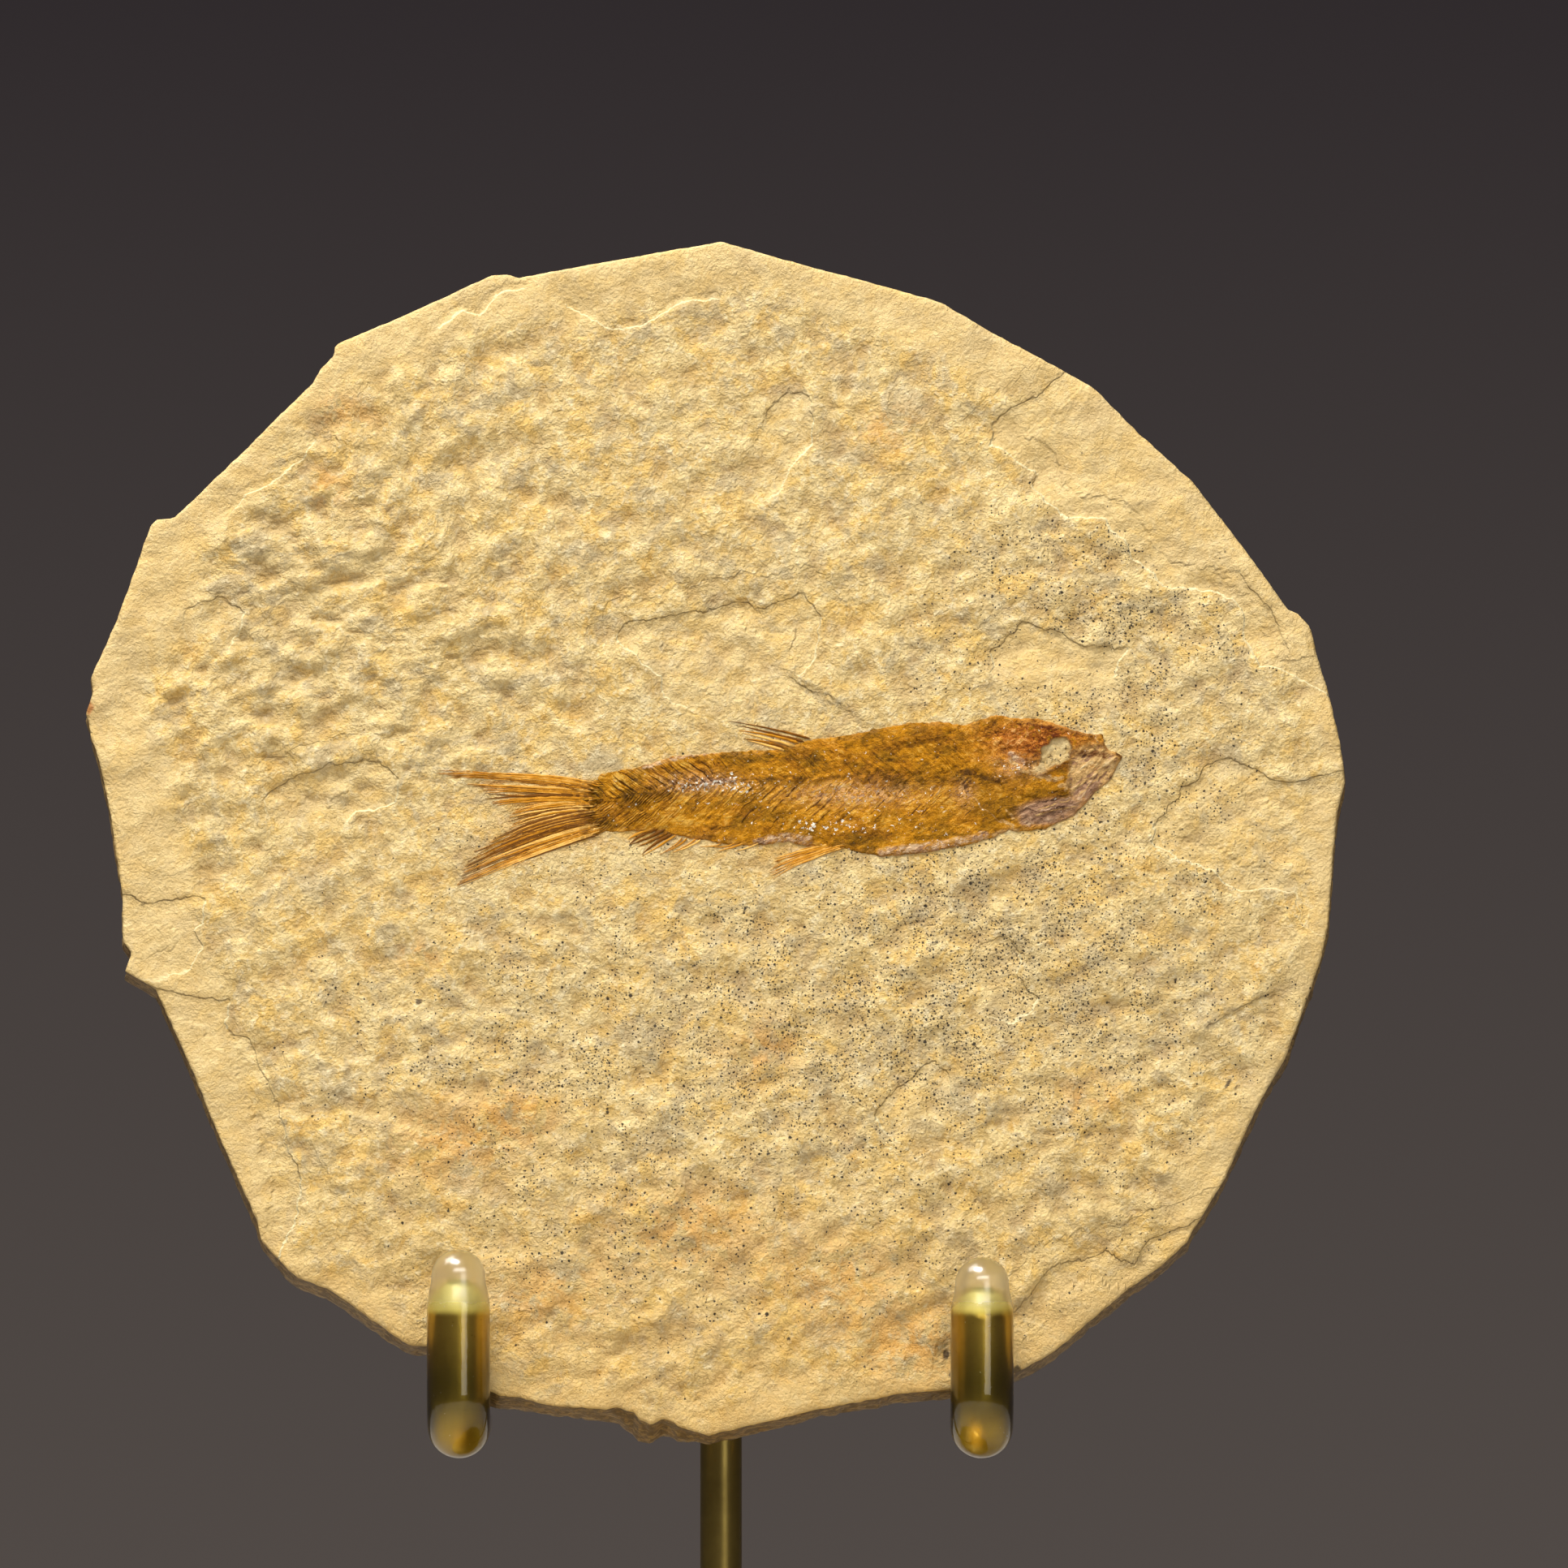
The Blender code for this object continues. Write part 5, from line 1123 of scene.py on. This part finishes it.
rod_ends = {side: TIP_HEIGHTS[side] - DOME_LENGTH + FILED_TIP for side in (-1, 1)}
rod_route = bent_route(
    [(-HALF_SPACING, PRONG_FRONT, rod_ends[-1]), (-HALF_SPACING, PRONG_FRONT, RUN_HEIGHT),
     (-HALF_SPACING, BAR_BACK, RUN_HEIGHT), (-HALF_SPACING, BAR_BACK, BAR_HEIGHT),
     (HALF_SPACING, BAR_BACK, BAR_HEIGHT), (HALF_SPACING, BAR_BACK, RUN_HEIGHT),
     (HALF_SPACING, PRONG_FRONT, RUN_HEIGHT), (HALF_SPACING, PRONG_FRONT, rod_ends[1])],
    [FRONT_BEND, BACK_BEND, BACK_BEND, BACK_BEND, BACK_BEND, FRONT_BEND],
)
rod_reach = np.concatenate([[0], np.cumsum(np.linalg.norm(np.diff(rod_route, axis=0), axis=1))])
from_tip = np.minimum(rod_reach, rod_reach[-1] - rod_reach)
# The spokes turn by a quarter on the straight run under the slab, so that they suit both bends.
back_leg = smooth((from_tip - 32) / 4)[:, None]
rod_upright = (1 - back_leg) * np.array([1.0, 0, 0]) + back_leg * np.array([0, 1.0, 0])
rod = swept(rod_route, filed(ROD_RADIUS, from_tip), rod_upright, 48)
add_piece("cradle_rod_bent", *rod, "polished_brass", ["cradle_rod"], finish=brass_finish)

bead_up, bead_turn = np.meshgrid(np.linspace(-0.985, 0.985, 21), full_turn(40), indexing="ij")
bead_wide = np.sqrt(1 - bead_up ** 2) * (1 + 0.08 * layered(bead_turn * 1.2, bead_up * 2, 1.0, 2, 130))
bead_points = np.stack([bead_wide * np.cos(bead_turn), bead_wide * np.sin(bead_turn), bead_up], -1)
bead_points = bead_points * BEAD_SIZE + [0, BEAD_BACK, BAR_HEIGHT]
bead_faces = capped(numbered(*bead_up.shape)[:, ::-1])
add_piece("brazed_joint", bead_points * MM, bead_faces, "polished_brass", finish=brass_finish)

# Sleeves and cap: clear soft plastic pushed over the metal wherever it meets the stone. Each prong's sleeve ends
# in a solid dome, and a cap sits on the post's top behind the slab.
SLEEVE_DOME, SLEEVE_OPEN_END, SHOULDER, LIP_DEPTH = 3.2, -10.6, 3.6, 0.28
CAP_RADIUS, CAP_SKIRT, CAP_EDGE = 3.6, 12.0, 0.5

plastic = Finish("clear_soft_plastic", Transmission_Weight=1.0, IOR=1.5, Coat_IOR=1.9, Coat_Roughness=0.22)
scuffs = plastic.noise(plastic.place, 1.6, 3, 0.6)
dust = plastic.noise(plastic.place, 0.45, 2, 0.5)
above_rod = plastic.part(plastic.place, 2).rise(76.0, 77.5)
plastic_finish = plastic.finish(
    plastic.mix(above_rod, (238, 230, 178), (255, 255, 250)),
    0.03 + above_rod * 0.26 + scuffs.rise(0.45, 0.8) * 0.08 + dust.rise(0.72, 0.78) * 0.3,
    (scuffs - 0.5) * 0.06, 0.4, **{"Coat Weight": above_rod})


def clear_sleeve(name, node, side):
    """A tube bored from its open end: its rings run down the bore, out over the lip, and on to the dome."""
    tip, x = TIP_HEIGHTS[side], side * HALF_SPACING
    foot = [(x, SLEEVE_OPEN_END, RUN_HEIGHT), (x, PRONG_FRONT, RUN_HEIGHT)]
    tube = bent_route([*foot, (x, PRONG_FRONT, tip - SLEEVE_DOME - SHOULDER)], [FRONT_BEND])
    shoulder = np.linspace(0, 1, 13)[1:, None]
    outside = np.concatenate([tube, tube[-1] + shoulder * np.array([0, 0, SHOULDER])])
    narrowing = (SLEEVE_RADIUS - SLEEVE_DOME) * smooth(shoulder[:, 0])
    turn = np.linspace(0, np.pi / 2 * 0.995, 17)[1:]
    dome = outside[-1] + SLEEVE_DOME * np.sin(turn)[:, None] * np.array([0, 0, 1])
    bore = bent_route([*foot, (x, PRONG_FRONT, tip - DOME_LENGTH + FILED_TIP - 0.02)], [FRONT_BEND])[::-1]
    lip = np.linspace(0, np.pi, 7)[1:-1]
    middle, half = (SLEEVE_RADIUS + GRIP_RADIUS) / 2, (SLEEVE_RADIUS - GRIP_RADIUS) / 2
    lip_route = bore[-1] + (np.sin(lip)[:, None] - 1) * np.array([0, LIP_DEPTH, 0])
    radii = np.concatenate([
        [PINHOLE], filed(GRIP_RADIUS, bore[0, 2] - bore[:, 2]), middle - half * np.cos(lip),
        np.full(len(tube), SLEEVE_RADIUS), SLEEVE_RADIUS - narrowing,
        np.maximum(SLEEVE_DOME * np.cos(turn), PINHOLE),
    ])
    bore[-1] = outside[0] = bore[-1] - np.array([0, LIP_DEPTH, 0])
    route = np.concatenate([bore[:1], bore, lip_route, outside, dome])
    # Spokes follow the route outwards along the foot and up the prong, so the bore's rings turn the same way.
    up_bore = -np.gradient(bore, axis=0)
    ahead = np.concatenate([
        up_bore[:1], up_bore, 0 * lip_route - [0, 1, 0], np.gradient(outside, axis=0), 0 * dome + [0, 0, 1]])
    tube = swept(route, radii, np.array([1.0, 0, 0]), 64, ahead)
    add_piece(name, *tube, "clear_plastic", [node], finish=plastic_finish)


clear_sleeve("clear_sleeve_left", "left_prong_sleeve", -1)
clear_sleeve("clear_sleeve_right", "right_prong_sleeve", 1)
cap_centre = REST_LINE_HEIGHT + BACK_REST_HEIGHT
cap_skirt = cap_centre - CAP_SKIRT
cap_profile = (
    [(PINHOLE, cap_centre - 1.02), (GRIP_RADIUS, cap_centre - 1.02)]
    + [(GRIP_RADIUS, height) for height in np.linspace(cap_centre - 1.3, cap_skirt + CAP_EDGE, 8)]
    + corner(CAP_RADIUS - CAP_EDGE, cap_skirt + CAP_EDGE, CAP_EDGE, 180, 360, 9)
    + corner(0, cap_centre, CAP_RADIUS, 0, 89.7, 17)
)
add_piece("clear_cap", *turned(cap_profile, 64), "clear_plastic", ["back_rest_cap"], finish=plastic_finish)

# Stage: a plain pale table under the stand, soft light from above and in front, and a dim room behind.
TABLE_RADIUS, TABLE_SINK = 0.27, 1e-5
table_turn = full_turn(96)
table_rim = np.stack([np.cos(table_turn), np.sin(table_turn), 0 * table_turn], -1) * TABLE_RADIUS
table_mesh = bpy.data.meshes.new("pale_table")
table_mesh.from_pydata((table_rim - [0, 0, TABLE_SINK]).tolist(), [], [tuple(range(len(table_rim)))])
table = bpy.data.objects.new("pale_table", table_mesh)
bpy.context.scene.collection.objects.link(table)
cloth = Finish("pale_table_top", Roughness=0.7)
cloth_tint = cloth.mix(cloth.noise(cloth.place, 30, 2), (176, 171, 163), (186, 181, 173))
table_mesh.materials.append(cloth.finish(cloth_tint))


def soft_light(name, place, aim, wide, high, power, colour):
    """A rectangular soft light at `place`, turned to face `aim`."""
    lamp = bpy.data.lights.new(name, "AREA")
    lamp.shape = "RECTANGLE"
    lamp.size, lamp.size_y, lamp.energy, lamp.color = wide, high, power, colour
    holder = bpy.data.objects.new(name, lamp)
    facing = Vector(aim) - Vector(place)
    holder.location = place
    holder.rotation_euler = facing.to_track_quat("-Z", "Y").to_euler()
    bpy.context.scene.collection.objects.link(holder)


SLAB_MIDDLE, SLAB_UPPER = (0, -0.02, 0.13), (0, -0.02, 0.16)
soft_light("overhead_softbox", (-0.25, -0.42, 1.15), SLAB_MIDDLE, 0.5, 0.25, 15.0, (1.0, 0.965, 0.9))
soft_light("front_softbox", (0.1, -1.15, 0.75), SLAB_MIDDLE, 1.2, 0.3, 6.2, (1.0, 0.97, 0.92))
soft_light("rim_softbox", (-0.45, 0.25, 1.1), SLAB_UPPER, 1.2, 0.5, 9, (1.0, 0.975, 0.93))
soft_light("front_fill", (0.5, -1.3, 0.2), SLAB_MIDDLE, 0.5, 0.5, 2, (1.0, 0.97, 0.92))
room = bpy.data.worlds.new("dim_room")
bpy.context.scene.world = room
room.use_nodes = True
sky = Nodes(room.node_tree)
upward = sky.part(sky.node("TexCoord"), 2)
lift = sky.node("MapRange", {}, {"Value": upward, "From Min": -0.051, "From Max": 0.051})
shade = sky.node("ValToRGB", {"stops": [(0.0, (82, 75, 71)), (1.0, (46, 41, 43))]}, {0: lift})
sky.node("OutputWorld", {}, {"Surface": sky.node("Background", {}, {"Color": shade})})

lens = bpy.data.cameras.new("camera")
lens.sensor_width = 36.0
lens.lens = 385.0
lens.clip_start = 0.01
camera = bpy.data.objects.new("camera", lens)
camera.location = (7.55 * MM, -2.011, 0.1385)
camera.rotation_euler = (np.pi / 2, 0, 0)
bpy.context.scene.collection.objects.link(camera)
bpy.context.scene.camera = camera
bpy.context.scene.view_settings.view_transform = "Standard"
